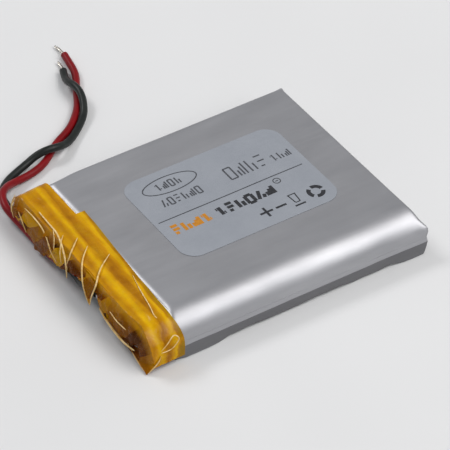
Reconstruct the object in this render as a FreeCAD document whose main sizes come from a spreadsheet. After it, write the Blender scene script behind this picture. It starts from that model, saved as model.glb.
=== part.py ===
import FreeCAD, Part
import math
import os
import Sketcher
from FreeCAD import Placement, Rotation, Vector

# Lithium polymer pouch cell with its protection circuit and two leads.
# Frame: +X from the terminal end to the folded far end, +Y across the cell,
# +Z up, origin under the middle of the cell on the surface it lies on.
# Millimetres.

doc = FreeCAD.newDocument("pouch_cell")
sheet = doc.addObject("Spreadsheet::Sheet", "Dims")

DIMENSIONS = {
    # pouch made of two drawn cups
    "cell_height": 7.0,
    "cell_width": 42.0,
    "cup_start": -21.35,
    "cup_length": 47.6,
    "cup_width": 41.4,
    "lower_cup_width": 41.0,
    "laminate": 0.15,
    "seal_level": 3.15,
    "upper_round": 3.7,
    "lower_round": 2.9,
    "end_round": 1.2,
    "flange_bottom": 0.25,
    "ridge": 0.3,
    # sealed terrace that the tabs come through
    "terrace_length": 2.6,
    "terrace_width": 40.0,
    "terrace_skin": 0.25,
    # wound electrodes
    "wind_start": -20.1,
    "wind_length": 45.2,
    "wind_half_straight": 16.7,
    "wind_centre": 3.327,
    "wind_core": 0.3,
    "wind_pitch": 0.346,
    "electrode": 0.123,
    "separator": 0.03,
    "layer_gap": 0.01,
    "overhang": 0.8,
    "roll_tape_width": 12.0,
    "roll_tape_setback": 5.0,
    # tabs
    "tab_width": 4.0,
    "tab_thickness": 0.1,
    "tab_offset": 8.0,
    "tab_fold": 2.0,
    "tab_bend": 0.3,
    "film_width": 6.0,
    "film_thickness": 0.3,
    "film_overhang": 0.5,
    "film_inside": 0.6,
    # protection board
    "board_start": -25.05,
    "board_width": 3.5,
    "board_length": 36.0,
    "board_thickness": 0.8,
    "board_level": 3.6,
    "notch_depth": 0.35,
    "notch_gap": 0.2,
    "paper_thickness": 0.15,
    "paper_setback": 1.0,
    "copper": 0.05,
    "plate_length": 5.0,
    "plate_width": 2.6,
    "plate_thickness": 0.15,
    "plate_setback": 0.6,
    "plate_round": 0.3,
    "land_margin": 0.1,
    "chip_length": 2.9,
    "chip_width": 1.6,
    "chip_height": 1.0,
    "chip_stand": 0.1,
    "pin_width": 0.4,
    "pin_pitch": 0.95,
    "pin_thickness": 0.12,
    "chip_chamfer": 0.12,
    "passive_length": 1.0,
    "passive_width": 0.5,
    "passive_height": 0.35,
    # polyimide tapes round the terminal end
    "tape": 0.06,
    "tape_gap": 0.02,
    "tape_end": -26.55,
    "tape_round": 4.15,
    # label
    "label_length": 29.7,
    "label_width": 21.4,
    "label_round": 3.0,
    "label_thickness": 0.08,
    "label_x": 3.55,
    "label_y": 1.84,
    # leads
    "lead_diameter": 1.3,
    "conductor_diameter": 0.48,
    "solder_radius": 0.7,
    "solder_reach": 1.05,
    "stripped_wire": 1.3,
}


def fill_sheet():
    for row, (name, value) in enumerate(DIMENSIONS.items(), start=1):
        sheet.set("A%d" % row, name)
        sheet.set("B%d" % row, str(value))
        sheet.setAlias("B%d" % row, name)
    doc.recompute()


fill_sheet()


def dim(name):
    return float(sheet.get(name))


sub_parts = []


def register(item, label):
    item.Label = label
    sub_parts.append(item)
    return item


# ---------------------------------------------------------------- helpers

def new_body(label):
    return register(doc.addObject("PartDesign::Body", label), label)


def origin_plane(body, role):
    for feature in body.Origin.OriginFeatures:
        if feature.Role == role:
            return feature
    raise ValueError(role)


def new_sketch(body, name, role, offset="0"):
    """Sketch on one of the body's own origin planes, moved along its normal."""
    sketch = body.newObject("Sketcher::SketchObject", name)
    sketch.AttachmentSupport = [(origin_plane(body, role), "")]
    sketch.MapMode = "FlatFace"
    sketch.setExpression(".AttachmentOffset.Base.z", offset)
    doc.recompute()
    return sketch


def rectangle(body, name, role, offset, low_u, high_u, low_v, high_v):
    """Fully constrained rectangle whose four sides are expressions."""
    sketch = new_sketch(body, name, role, offset)
    u0, u1, v0, v1 = (float(sketch.evalExpression(text)) for text in (low_u, high_u, low_v, high_v))
    corners = [Vector(u0, v0, 0), Vector(u1, v0, 0), Vector(u1, v1, 0), Vector(u0, v1, 0)]
    sketch.addGeometry([Part.LineSegment(corners[i], corners[(i + 1) % 4]) for i in range(4)])
    for i in range(4):
        sketch.addConstraint(Sketcher.Constraint("Coincident", i, 2, (i + 1) % 4, 1))
    for i, kind in enumerate(("Horizontal", "Vertical", "Horizontal", "Vertical")):
        sketch.addConstraint(Sketcher.Constraint(kind, i))
    sides = (
        ("DistanceX", 0, 1, u0, low_u),
        ("DistanceX", 0, 2, u1, high_u),
        ("DistanceY", 0, 1, v0, low_v),
        ("DistanceY", 2, 1, v1, high_v),
    )
    for kind, line, point, value, text in sides:
        index = sketch.addConstraint(Sketcher.Constraint(kind, -1, 1, line, point, value))
        sketch.setExpression("Constraints[%d]" % index, text)
    doc.recompute()
    return sketch


def outline(body, name, role, offset, geometry):
    sketch = new_sketch(body, name, role, offset)
    sketch.addGeometry(geometry)
    doc.recompute()
    return sketch


def polygon(points):
    corners = [Vector(u, v, 0) for u, v in points]
    return [Part.LineSegment(a, b) for a, b in zip(corners, corners[1:] + corners[:1])]


def pad(body, sketch, length, middle=False):
    feature = body.newObject("PartDesign::Pad", "Pad_" + sketch.Name)
    feature.Profile = sketch
    feature.Midplane = middle
    feature.setExpression("Length", length)
    doc.recompute()
    return feature


def pocket(body, sketch, length):
    """Cut upwards from the sketch; it has to take material away."""
    before = body.Shape.Volume
    feature = body.newObject("PartDesign::Pocket", "Pocket_" + sketch.Name)
    feature.Profile = sketch
    feature.Reversed = True
    feature.setExpression("Length", length)
    doc.recompute()
    if body.Shape.Volume > before - 1e-6:
        raise ValueError("%s cuts nothing" % feature.Name)
    return feature


def pick_edges(shape, test):
    return ["Edge%d" % (i + 1) for i, edge in enumerate(shape.Edges) if test(edge.BoundBox)]


def fillet(body, radius, test):
    """Fillet of the tip's edges that pass the test; radius is an expression."""
    base = body.Tip
    names = pick_edges(base.Shape, test)
    if not names:
        raise ValueError("no edges to round on " + body.Name)
    feature = body.newObject("PartDesign::Fillet", "Fillet_%s_%d" % (body.Name, len(body.Group)))
    feature.Base = (base, names)
    feature.setExpression("Radius", radius)
    doc.recompute()
    return feature


def near(a, b):
    return abs(a - b) < 1e-4


def box(name, x, y, z, length, width, height):
    """Part box with its corner and sizes given as expressions."""
    solid = doc.addObject("Part::Box", name)
    for prop, text in (("Length", length), ("Width", width), ("Height", height)):
        solid.setExpression(prop, text)
    for axis, text in (("x", x), ("y", y), ("z", z)):
        solid.setExpression(".Placement.Base." + axis, text)
    return solid


def group(label, members):
    """Separate solids that share one node."""
    compound = doc.addObject("Part::Compound", label)
    compound.Links = members
    doc.recompute()
    return register(compound, label)


def strip(points, thickness, bend):
    """Outline of a bent strip: a centre line with round bends, offset to both sides."""
    half = thickness / 2.0
    line = [Vector(u, v, 0) for u, v in points]
    turn = Vector(0, 0, 1)
    sides = {1: [], -1: []}
    previous = line[0]
    for i in range(1, len(line)):
        along = (line[i] - line[i - 1]).normalize()
        left = turn.cross(along)
        if i == len(line) - 1:
            stop = line[i]
            arc = None
        else:
            onward = (line[i + 1] - line[i]).normalize()
            half_turn = along.getAngle(onward) / 2.0
            reach = bend * math.tan(half_turn)
            stop = line[i] - along * reach
            leave = line[i] + onward * reach
            way = 1 if left.dot(onward) > 0 else -1
            centre = stop + left * (bend * way)
            arc = (centre, way, leave, (line[i] - centre).normalize())
        for side in (1, -1):
            shift = left * (half * side)
            sides[side].append(Part.LineSegment(previous + shift, stop + shift))
            if arc:
                centre, way, leave, middle = arc
                radius = bend - half * side * way
                end = centre + (leave - centre).normalize() * radius
                sides[side].append(Part.Arc(stop + shift, centre + middle * radius, end))
        previous = arc[2] if arc else stop
    last = (line[-1] - line[-2]).normalize()
    end_left = turn.cross(last) * half
    first = (line[1] - line[0]).normalize()
    start_left = turn.cross(first) * half
    caps = [
        Part.LineSegment(line[-1] + end_left, line[-1] - end_left),
        Part.LineSegment(line[0] - start_left, line[0] + start_left),
    ]
    return sides[1] + sides[-1] + caps


# ---------------------------------------------------------------- pouch

def rounded_block(name, start, length, half, low, high, flat, side_radius, end_radius=None):
    """Block rounded along the two long edges at the flat level, then round its ends."""
    body = doc.addObject("PartDesign::Body", name)
    section = rectangle(body, name + "_section", "YZ_Plane", start, "-" + half, half, low, high)
    pad(body, section, length)
    level = float(sheet.evalExpression(flat))
    fillet(body, side_radius, lambda b: near(b.ZMin, level) and near(b.ZMax, level) and b.XLength > 1)
    if end_radius:
        first = float(sheet.evalExpression(start))
        last = first + float(sheet.evalExpression(length))
        seam = float(sheet.evalExpression(low if flat == high else high))

        def end_edge(b):
            at_end = b.XLength < 1e-4 and (near(b.XMin, first) or near(b.XMin, last))
            return at_end and not (near(b.ZMin, seam) and near(b.ZMax, seam))

        fillet(body, end_radius, end_edge)
    return body


def fuse(name, members):
    joined = doc.addObject("Part::MultiFuse", name)
    joined.Shapes = members
    return joined


def cut(name, base, tools):
    """Base without the tools; the cut has to take material away."""
    result = doc.addObject("Part::Cut", name)
    result.Base = base
    result.Tool = tools[0] if len(tools) == 1 else fuse(name + "_tools", tools)
    doc.recompute()
    if result.Shape.Volume > base.Shape.Volume - 1e-6:
        raise ValueError("%s cuts nothing" % name)
    return result


def flanges(prefix, half, web_start, top):
    """Side flanges: each leaves the seal level and is folded down beside the lower cup."""
    pieces = []
    for side, name in ((1, "left"), (-1, "right")):
        leg_y = "%s - Dims.laminate" % half if side > 0 else "-" + half
        pieces.append(box(
            "%s_leg_%s" % (prefix, name), "Dims.cup_start", leg_y, "Dims.flange_bottom",
            "Dims.cup_length + Dims.ridge", "Dims.laminate", "%s - Dims.flange_bottom" % top))
        web_y = web_start if side > 0 else "-" + half
        pieces.append(box(
            "%s_web_%s" % (prefix, name), "Dims.cup_start", web_y, "%s - Dims.laminate" % top,
            "Dims.cup_length + Dims.ridge", "%s - %s" % (half, web_start), "Dims.laminate"))
    return pieces


def end_edges(prefix, terrace_low, ridge_low):
    """Flat sealed terrace at the terminal end and the folded ridge at the far end."""
    front = box(
        prefix + "_terrace", "Dims.cup_start - Dims.terrace_length", "-Dims.terrace_width / 2",
        terrace_low, "Dims.terrace_length + Dims.laminate", "Dims.terrace_width",
        "Dims.terrace_skin")
    back = box(
        prefix + "_ridge", "Dims.cup_start + Dims.cup_length - Dims.laminate",
        "-Dims.cell_width / 2 + 2 * Dims.laminate", ridge_low,
        "Dims.ridge + Dims.laminate", "Dims.cell_width - 4 * Dims.laminate", "Dims.laminate")
    return [front, back]


def film_recesses(prefix, low):
    """Room for the sealing film round each tab, half in each laminate."""
    recesses = []
    for side, name in ((1, "positive"), (-1, "negative")):
        recesses.append(box(
            "%s_recess_%s" % (prefix, name), "Dims.cup_start - Dims.terrace_length - 1",
            "%d * Dims.tab_offset - Dims.film_width / 2" % side, low,
            "Dims.terrace_length + 1.6", "Dims.film_width", "Dims.film_thickness / 2"))
    return recesses


def cavity(prefix, half, low, high, flat, corner):
    """Hollow of a cup, one laminate smaller than the cup itself."""
    return rounded_block(
        prefix + "_cavity", "Dims.cup_start + Dims.laminate",
        "Dims.cup_length - 2 * Dims.laminate", half + " - Dims.laminate", low, high, flat,
        corner + " - Dims.laminate", "Dims.end_round - Dims.laminate")


def upper_shell():
    half = "(Dims.cup_width / 2)"
    top = "Dims.cell_height"
    inner_top = "Dims.cell_height - Dims.laminate"
    cup = rounded_block("upper_cup", "Dims.cup_start", "Dims.cup_length", half,
                        "Dims.seal_level", top, top, "Dims.upper_round", "Dims.end_round")
    outside = [cup]
    outside += flanges("upper", "(Dims.cell_width / 2)", "(Dims.cup_width / 2 - Dims.laminate)",
                       "(Dims.seal_level + Dims.laminate)")
    outside += end_edges("upper", "Dims.seal_level", "Dims.seal_level")
    tools = [cavity("upper", half, "Dims.seal_level", inner_top, inner_top, "Dims.upper_round")]
    tools += film_recesses("upper", "Dims.seal_level")
    shell = cut("pouch_upper_shell", fuse("upper_outside", outside), tools)
    register(shell, "pouch_upper_shell")


def lower_shell():
    half = "(Dims.lower_cup_width / 2)"
    floor = "Dims.laminate"
    cup = rounded_block("lower_cup", "Dims.cup_start", "Dims.cup_length", half,
                        "0", "Dims.seal_level", "0", "Dims.lower_round", "Dims.end_round")
    outside = [cup]
    outside += flanges("lower", "(Dims.cell_width / 2 - Dims.laminate)",
                       "(Dims.lower_cup_width / 2 - Dims.laminate)", "Dims.seal_level")
    outside += end_edges("lower", "Dims.seal_level - Dims.terrace_skin",
                         "Dims.seal_level - Dims.laminate")
    tools = [cavity("lower", half, floor, "Dims.seal_level", floor, "Dims.lower_round")]
    tools += film_recesses("lower", "Dims.seal_level - Dims.film_thickness / 2")
    shell = cut("pouch_lower_shell", fuse("lower_outside", outside), tools)
    register(shell, "pouch_lower_shell")


# ---------------------------------------------------------------- wound electrodes

WINDING_TURNS = 8


def racetrack(radius_offset, first_u):
    """One face of a wound layer: straights joined by half circles, one pitch out per turn."""
    core = dim("wind_core") + radius_offset
    pitch = dim("wind_pitch")
    reach = dim("wind_half_straight")
    level = dim("wind_centre")
    pieces = []
    here = Vector(first_u, level + core, 0)
    for turn in range(WINDING_TURNS):
        radius = core + pitch * turn
        corner = Vector(reach, level + radius, 0)
        below = Vector(reach, level - radius, 0)
        pieces.append(Part.LineSegment(here, corner))
        pieces.append(Part.Arc(corner, Vector(reach + radius, level, 0), below))
        far = Vector(-reach, level - radius, 0)
        pieces.append(Part.LineSegment(below, far))
        wider = radius + pitch / 2.0
        here = Vector(-reach, level + radius + pitch, 0)
        middle = Vector(-reach - wider, level + pitch / 2.0, 0)
        pieces.append(Part.Arc(far, middle, here))
    return pieces, here


def wound_layer(label, inner_offset, thickness, first_u, last_u, grow):
    """Sheet of even thickness wound into the flat roll; grow is its extra width at each end."""
    body = new_body(label)
    inner, inner_end = racetrack(inner_offset, first_u)
    outer, outer_end = racetrack(inner_offset + thickness, first_u)
    inner_stop = Vector(last_u, inner_end.y, 0)
    outer_stop = Vector(last_u, outer_end.y, 0)
    geometry = inner + [Part.LineSegment(inner_end, inner_stop)]
    geometry += outer + [Part.LineSegment(outer_end, outer_stop)]
    geometry.append(Part.LineSegment(inner_stop, outer_stop))
    geometry.append(Part.LineSegment(inner[0].StartPoint, outer[0].StartPoint))
    sketch = outline(body, label + "_spiral", "YZ_Plane", "Dims.wind_start - " + grow, geometry)
    pad(body, sketch, "Dims.wind_length + 2 * (%s)" % grow)


def windings():
    electrode = dim("electrode")
    film = dim("separator")
    gap = dim("layer_gap")
    second = electrode + gap
    third = second + film + gap
    fourth = third + electrode + gap
    wound_layer("cathode_winding", 0.0, electrode, -13.0, 9.0, "(-0.3)")
    wound_layer("separator_inner", second, film, -15.5, 13.5, "Dims.overhang / 2")
    wound_layer("anode_winding", third, electrode, -14.5, 11.0, "0")
    wound_layer("separator_outer", fourth, film, -15.5, 14.5, "Dims.overhang / 2")
    top = dim("wind_centre") + dim("wind_core") + dim("wind_pitch") * (WINDING_TURNS + 1)
    tape = box("roll_closing_tape", "Dims.wind_start + Dims.roll_tape_setback",
               "Dims.roll_tape_width / 2", "%.4f" % top,
               "Dims.wind_length - 2 * Dims.roll_tape_setback", "Dims.roll_tape_width",
               "Dims.separator * 1.5")
    register(tape, "roll_closing_tape")


# ---------------------------------------------------------------- tabs and seal films

def tab(label, side, tail):
    """Metal strip from inside the roll, through the seal, round the board's edge and back."""
    body = new_body(label)
    level = dim("seal_level")
    front = dim("board_start") + dim("tab_thickness")
    top = dim("board_level") + dim("board_thickness") + dim("copper") + dim("plate_thickness")
    top += dim("tab_thickness") / 2.0
    points = [(dim("wind_start") + tail, level), (front, level), (front, top),
              (front + dim("tab_fold"), top)]
    sketch = outline(body, label + "_side", "XZ_Plane", "%d * Dims.tab_offset" % -side,
                     strip(points, dim("tab_thickness"), dim("tab_bend")))
    pad(body, sketch, "Dims.tab_width", middle=True)


def seal_film(label, side):
    """Polymer film round the tab where it crosses the seal, with the tab's slot."""
    body = new_body(label)
    middle = "%d * Dims.tab_offset" % side
    block = rectangle(
        body, label + "_block", "XY_Plane", "Dims.seal_level - Dims.film_thickness / 2",
        "Dims.cup_start - Dims.terrace_length - Dims.film_overhang",
        "Dims.cup_start + Dims.film_inside",
        middle + " - Dims.film_width / 2", middle + " + Dims.film_width / 2")
    pad(body, block, "Dims.film_thickness")
    slot = rectangle(
        body, label + "_slot", "XY_Plane", "Dims.seal_level - Dims.tab_thickness / 2",
        "Dims.cup_start - Dims.terrace_length - 1", "Dims.cup_start + 1",
        middle + " - Dims.tab_width / 2", middle + " + Dims.tab_width / 2")
    pocket(body, slot, "Dims.tab_thickness")


# ---------------------------------------------------------------- protection board

BOARD_TOP = "(Dims.board_level + Dims.board_thickness)"
COPPER_TOP = "(Dims.board_level + Dims.board_thickness + Dims.copper)"
CHIP_X = "(Dims.board_start + Dims.board_width / 2)"
RED_JOINT_Y = 0.4
BLACK_JOINT_Y = -5.4
CHIP_PLACES = (("protection_ic", 2.6), ("mosfet_pair", -2.4))
PASSIVE_PLACES = (("chip_resistors", (12.6, 14.2)), ("chip_capacitor", (-12.8,)))


def pcm_board():
    body = new_body("pcm_board")
    plate = rectangle(
        body, "board_plate", "XY_Plane", "Dims.board_level",
        "Dims.board_start", "Dims.board_start + Dims.board_width",
        "-Dims.board_length / 2", "Dims.board_length / 2")
    pad(body, plate, "Dims.board_thickness")
    for side, name in ((1, "positive"), (-1, "negative")):
        middle = "%d * Dims.tab_offset" % side
        notch = rectangle(
            body, "notch_" + name, "XY_Plane", "Dims.board_level - 1",
            "Dims.board_start - 1", "Dims.board_start + Dims.notch_depth",
            middle + " - Dims.tab_width / 2 - Dims.notch_gap",
            middle + " + Dims.tab_width / 2 + Dims.notch_gap")
        pocket(body, notch, "Dims.board_thickness + 2")


def board_insulator():
    sheet_box = box(
        "board_insulator", "Dims.board_start + Dims.paper_setback", "-Dims.board_length / 2",
        "Dims.board_level - Dims.paper_thickness",
        "Dims.board_width - Dims.paper_setback - Dims.copper", "Dims.board_length",
        "Dims.paper_thickness")
    register(sheet_box, "board_insulator")


def copper_pads():
    """Lands on the board: one under each plate and one row under each chip side."""
    lands = []
    for side, name in ((1, "positive"), (-1, "negative")):
        lands.append(box(
            "land_" + name, "Dims.board_start + Dims.plate_setback - Dims.land_margin",
            "%d * Dims.tab_offset - Dims.plate_length / 2 - Dims.land_margin" % side, BOARD_TOP,
            "Dims.plate_width + 2 * Dims.land_margin",
            "Dims.plate_length + 2 * Dims.land_margin", "Dims.copper"))
    for name, place in CHIP_PLACES:
        for row, shift in (("outer", -1.6), ("inner", 1.1)):
            for pin in (-1, 0, 1):
                lands.append(box(
                    "land_%s_%s_%d" % (name, row, pin + 2), "%s + %s" % (CHIP_X, shift),
                    "%s + %d * Dims.pin_pitch - Dims.pin_width / 2 - 0.05" % (place, pin),
                    BOARD_TOP, "0.5", "Dims.pin_width + 0.1", "Dims.copper"))
    group("pcm_pads", lands)


def nickel_plate(label, side):
    """Small welding plate soldered on the board's land."""
    body = new_body(label)
    middle = "%d * Dims.tab_offset" % side
    plate = rectangle(
        body, label + "_plate", "XY_Plane", COPPER_TOP,
        "Dims.board_start + Dims.plate_setback",
        "Dims.board_start + Dims.plate_setback + Dims.plate_width",
        middle + " - Dims.plate_length / 2", middle + " + Dims.plate_length / 2")
    pad(body, plate, "Dims.plate_thickness")
    fillet(body, "Dims.plate_round", lambda b: b.ZLength > 0.1)


def chip(label, place):
    """Moulded chip body, tapered above its pins."""
    body = new_body(label)
    block = rectangle(
        body, label + "_block", "XY_Plane", COPPER_TOP + " + Dims.chip_stand",
        CHIP_X + " - Dims.chip_width / 2", CHIP_X + " + Dims.chip_width / 2",
        "%s - Dims.chip_length / 2" % place, "%s + Dims.chip_length / 2" % place)
    pad(body, block, "Dims.chip_height")
    top = dim("board_level") + dim("board_thickness") + dim("copper")
    top += dim("chip_stand") + dim("chip_height")
    base = body.Tip
    feature = body.newObject("PartDesign::Chamfer", "Chamfer_" + label)
    feature.Base = (base, pick_edges(base.Shape, lambda b: near(b.ZMin, top)))
    feature.setExpression("Size", "Dims.chip_chamfer")
    doc.recompute()


def chip_pins(label, place):
    """Three gull-wing pins on each long side of a chip."""
    body = new_body(label)
    foot = dim("board_level") + dim("board_thickness") + dim("copper")
    foot += dim("pin_thickness") / 2.0
    shoulder = foot + 0.45
    middle = dim("board_start") + dim("board_width") / 2.0
    edge = dim("chip_width") / 2.0
    for side, name in ((1, "inner"), (-1, "outer")):
        points = [(middle + side * edge, shoulder), (middle + side * (edge + 0.25), shoulder),
                  (middle + side * (edge + 0.4), foot), (middle + side * (edge + 0.7), foot)]
        for pin in (-1, 0, 1):
            sketch = outline(
                body, "%s_%s_%d" % (label, name, pin + 2), "XZ_Plane",
                "-(%s + %d * Dims.pin_pitch)" % (place, pin),
                strip(points, dim("pin_thickness"), 0.1))
            pad(body, sketch, "Dims.pin_width", middle=True)


def passives():
    """Two-terminal chip parts, each a block between two plated ends."""
    for label, places in PASSIVE_PLACES:
        blocks = []
        for i, place in enumerate(places):
            blocks.append(box(
                "%s_%d" % (label, i + 1), CHIP_X + " - Dims.passive_length / 2",
                "%s - Dims.passive_width / 2" % place, BOARD_TOP,
                "Dims.passive_length", "Dims.passive_width", "Dims.passive_height"))
        group(label, blocks)


def solder_joint(label, place):
    """Solder fillet on the board's outer edge with the lead's stripped wire through it."""
    centre = "Dims.board_level + Dims.board_thickness / 2"
    blob = doc.addObject("Part::Cone", label + "_blob")
    blob.setExpression("Radius1", "Dims.solder_radius * 0.57")
    blob.setExpression("Radius2", "Dims.solder_radius")
    blob.setExpression("Height", "Dims.solder_reach")
    blob.Placement = Placement(Vector(), Rotation(Vector(0, 1, 0), 90))
    blob.setExpression(".Placement.Base.x", "Dims.board_start - Dims.solder_reach")
    blob.setExpression(".Placement.Base.y", str(place))
    blob.setExpression(".Placement.Base.z", centre)
    wire = doc.addObject("Part::Cylinder", label + "_wire")
    wire.setExpression("Radius", "Dims.conductor_diameter / 2")
    wire.setExpression("Height", "Dims.stripped_wire")
    wire.Placement = Placement(Vector(), Rotation(Vector(1, 0, 0), -90))
    wire.setExpression(".Placement.Base.x", "Dims.board_start - Dims.lead_diameter / 2 - 0.1")
    wire.setExpression(".Placement.Base.y", "%s - 0.5" % place)
    wire.setExpression(".Placement.Base.z", centre)
    joint = doc.addObject("Part::MultiFuse", label)
    joint.Shapes = [blob, wire]
    doc.recompute()
    register(joint, label)


# ---------------------------------------------------------------- polyimide tapes

TAPE_STEP_Y = 10.4
INNER_TAPE_END_Y = -12.0
INNER_TAPE_EDGE = -20.25
OUTER_TAPE_EDGE = (-18.8, -20.2, -21.3)


def plan_block(name, points, low, height):
    """Upright block over a plan outline, used as a cutter."""
    body = doc.addObject("PartDesign::Body", name)
    sketch = outline(body, name + "_plan", "XY_Plane", low, polygon(points))
    pad(body, sketch, height)
    return body


def tape_cap(label, inset, finish, cutters):
    """Tape folded round the terminal end: a thin cap, open towards the cell."""
    margin = "(2 * Dims.tape + Dims.tape_gap - %s)" % inset
    half = "(Dims.cell_width / 2 + %s)" % margin
    top = "(Dims.cell_height + %s)" % margin
    start = "(Dims.tape_end + %s)" % inset
    outside = rounded_block(label + "_outside", start, "%s - %s" % (finish, start), half,
                            inset, top, top, "Dims.tape_round + " + margin)
    inner_top = "(%s - Dims.tape)" % top
    hollow = rounded_block(label + "_hollow", start + " + Dims.tape", "20",
                           "(%s - Dims.tape)" % half, inset + " + Dims.tape", inner_top,
                           inner_top, "Dims.tape_round + %s - Dims.tape" % margin)
    register(cut(label, outside, [hollow] + cutters), label)


def tapes():
    floor_end = dim("cup_start") - 0.1
    beyond = 40.0
    behind = dim("tape_end") - 1.0
    mouth = dim("tape_end") + 3.4
    under = [(floor_end, -beyond), (beyond, -beyond), (beyond, beyond), (floor_end, beyond)]
    lead_exit = [(behind, 18.5), (mouth, 18.5), (mouth, beyond), (behind, beyond)]
    inner_side = [(behind, -beyond), (beyond, -beyond), (beyond, INNER_TAPE_END_Y),
                  (behind, INNER_TAPE_END_Y)]
    tape_cap("inner_polyimide_tape", "(Dims.tape + Dims.tape_gap)", str(INNER_TAPE_EDGE), [
        plan_block("inner_tape_under", under, "-0.1", "0.3"),
        plan_block("inner_tape_side", inner_side, "-1", "12"),
        plan_block("inner_tape_lead_exit", lead_exit, "-0.1", "2.7")])
    wide, middle, narrow = OUTER_TAPE_EDGE
    beyond_step = [(behind, TAPE_STEP_Y), (beyond, TAPE_STEP_Y), (beyond, beyond),
                   (behind, beyond)]
    slant = [(wide, 4.0), (middle, -7.0), (narrow, -14.0), (narrow, -beyond),
             (beyond, -beyond), (beyond, 4.0)]
    tape_cap("outer_polyimide_tape", "0", str(wide), [
        plan_block("outer_tape_under", under, "-0.1", "0.3"),
        plan_block("outer_tape_step", beyond_step, "-1", "12"),
        plan_block("outer_tape_slant", slant, "-1", "12")])


# ---------------------------------------------------------------- label

def label_sheet():
    body = new_body("label")
    sketch = rectangle(
        body, "label_plan", "XY_Plane", "Dims.cell_height",
        "Dims.label_x - Dims.label_length / 2", "Dims.label_x + Dims.label_length / 2",
        "Dims.label_y - Dims.label_width / 2", "Dims.label_y + Dims.label_width / 2")
    pad(body, sketch, "Dims.label_thickness")
    fillet(body, "Dims.label_round", lambda b: b.ZLength > 0.05)


# ---------------------------------------------------------------- leads

# Routes of the two leads, from the solder joint to the end of the insulation.
RED_ROUTE = [
    (-25.74, 1.20, 4.00), (-25.74, 3.20, 3.70), (-25.73, 5.20, 2.80), (-25.68, 7.40, 1.95),
    (-25.66, 9.90, 1.42), (-25.64, 12.90, 1.24), (-25.67, 16.10, 1.22), (-25.74, 18.90, 1.36),
    (-25.96, 21.20, 1.72), (-26.09, 23.20, 2.16), (-25.61, 25.14, 2.40), (-24.55, 26.84, 2.28),
    (-22.94, 28.19, 1.72), (-21.04, 29.08, 1.08), (-18.90, 29.60, 0.74), (-16.60, 30.10, 0.66),
    (-14.40, 31.00, 0.66), (-12.60, 32.30, 0.66), (-10.90, 33.80, 0.66), (-8.95, 35.05, 0.66),
    (-6.90, 36.10, 0.66), (-5.00, 37.50, 0.66), (-3.20, 39.30, 0.66), (-1.60, 41.30, 0.66),
    (-0.40, 43.50, 0.66), (0.70, 45.60, 0.66), (1.90, 47.50, 0.66), (2.80, 49.60, 0.66),
    (3.25, 51.90, 0.66), (3.75, 54.60, 0.66)]
BLACK_ROUTE = [
    (-25.74, -4.60, 4.00), (-25.74, -2.60, 3.70), (-25.56, -0.60, 2.74), (-25.08, 1.30, 1.78),
    (-24.60, 3.60, 1.12), (-24.32, 6.60, 0.88), (-24.24, 10.20, 0.88), (-24.27, 14.20, 0.88),
    (-24.42, 18.00, 0.86), (-24.68, 21.40, 0.72), (-24.90, 24.20, 0.66), (-24.65, 26.80, 0.66),
    (-23.50, 29.00, 0.66), (-21.50, 30.60, 0.66), (-19.20, 31.60, 0.68), (-17.00, 32.30, 0.86),
    (-14.90, 32.60, 1.60), (-12.90, 32.30, 2.20), (-10.90, 32.20, 1.95), (-9.00, 32.90, 1.20),
    (-7.10, 34.10, 0.74), (-5.20, 35.60, 0.66), (-3.40, 37.10, 0.72), (-1.80, 38.80, 1.05),
    (-0.70, 40.90, 1.70), (-0.15, 43.00, 2.25), (-0.20, 45.10, 2.15), (-0.10, 47.10, 1.40),
    (0.45, 49.00, 0.82), (1.30, 50.90, 0.66)]
RED_TIP_ROUTE = [(3.75, 54.60, 0.66), (3.98, 55.80, 0.56), (3.90, 57.90, 0.30)]
BLACK_TIP_ROUTE = [(1.30, 50.90, 0.66), (1.80, 52.00, 0.56), (2.00, 53.70, 0.30)]
ARC_SHARE = 0.45


def rounded_path(label, route):
    """Straight runs joined by tangent arcs, each as large as its two runs allow."""
    points = [Vector(*point) for point in route]
    edges = []
    radii = []
    here = points[0]
    for before, corner, after in zip(points, points[1:], points[2:]):
        arrive = corner - before
        leave = after - corner
        shorter = min(arrive.Length, leave.Length)
        half_turn = arrive.getAngle(leave) / 2.0
        reach = ARC_SHARE * shorter
        radius = reach / math.tan(half_turn)
        radii.append(radius)
        arrive.normalize()
        leave.normalize()
        start = corner - arrive * reach
        finish = corner + leave * reach
        inward = (leave - arrive).normalize()
        middle = corner + inward * (radius / math.cos(half_turn) - radius)
        edges.append(Part.LineSegment(here, start).toShape())
        edges.append(Part.Arc(start, middle, finish).toShape())
        here = finish
    edges.append(Part.LineSegment(here, points[-1]).toShape())
    path = Part.Wire(edges)
    print("%s: length %.1f, radii %s" % (label, path.Length, " ".join("%.1f" % r for r in radii)))
    return path


def tube(label, route, diameter):
    path = rounded_path(label, route)
    start = path.Edges[0]
    direction = start.tangentAt(start.FirstParameter)
    ring = Part.Wire([Part.Circle(Vector(*route[0]), direction, diameter / 2.0).toShape()])
    solid = path.makePipeShell([ring], True, False)
    expected = math.pi * diameter ** 2 / 4.0 * path.Length
    if abs(solid.Volume / expected - 1.0) > 0.01:
        raise ValueError("%s holds %.3f, not %.3f" % (label, solid.Volume, expected))
    feature = doc.addObject("Part::Feature", label)
    feature.Shape = solid
    feature.Placement = Placement()
    return register(feature, label)


def leads():
    tube("red_lead", RED_ROUTE, dim("lead_diameter"))
    tube("black_lead", BLACK_ROUTE, dim("lead_diameter"))
    tube("red_lead_tip", RED_TIP_ROUTE, dim("conductor_diameter"))
    tube("black_lead_tip", BLACK_TIP_ROUTE, dim("conductor_diameter"))


# ---------------------------------------------------------------- build and write

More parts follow.
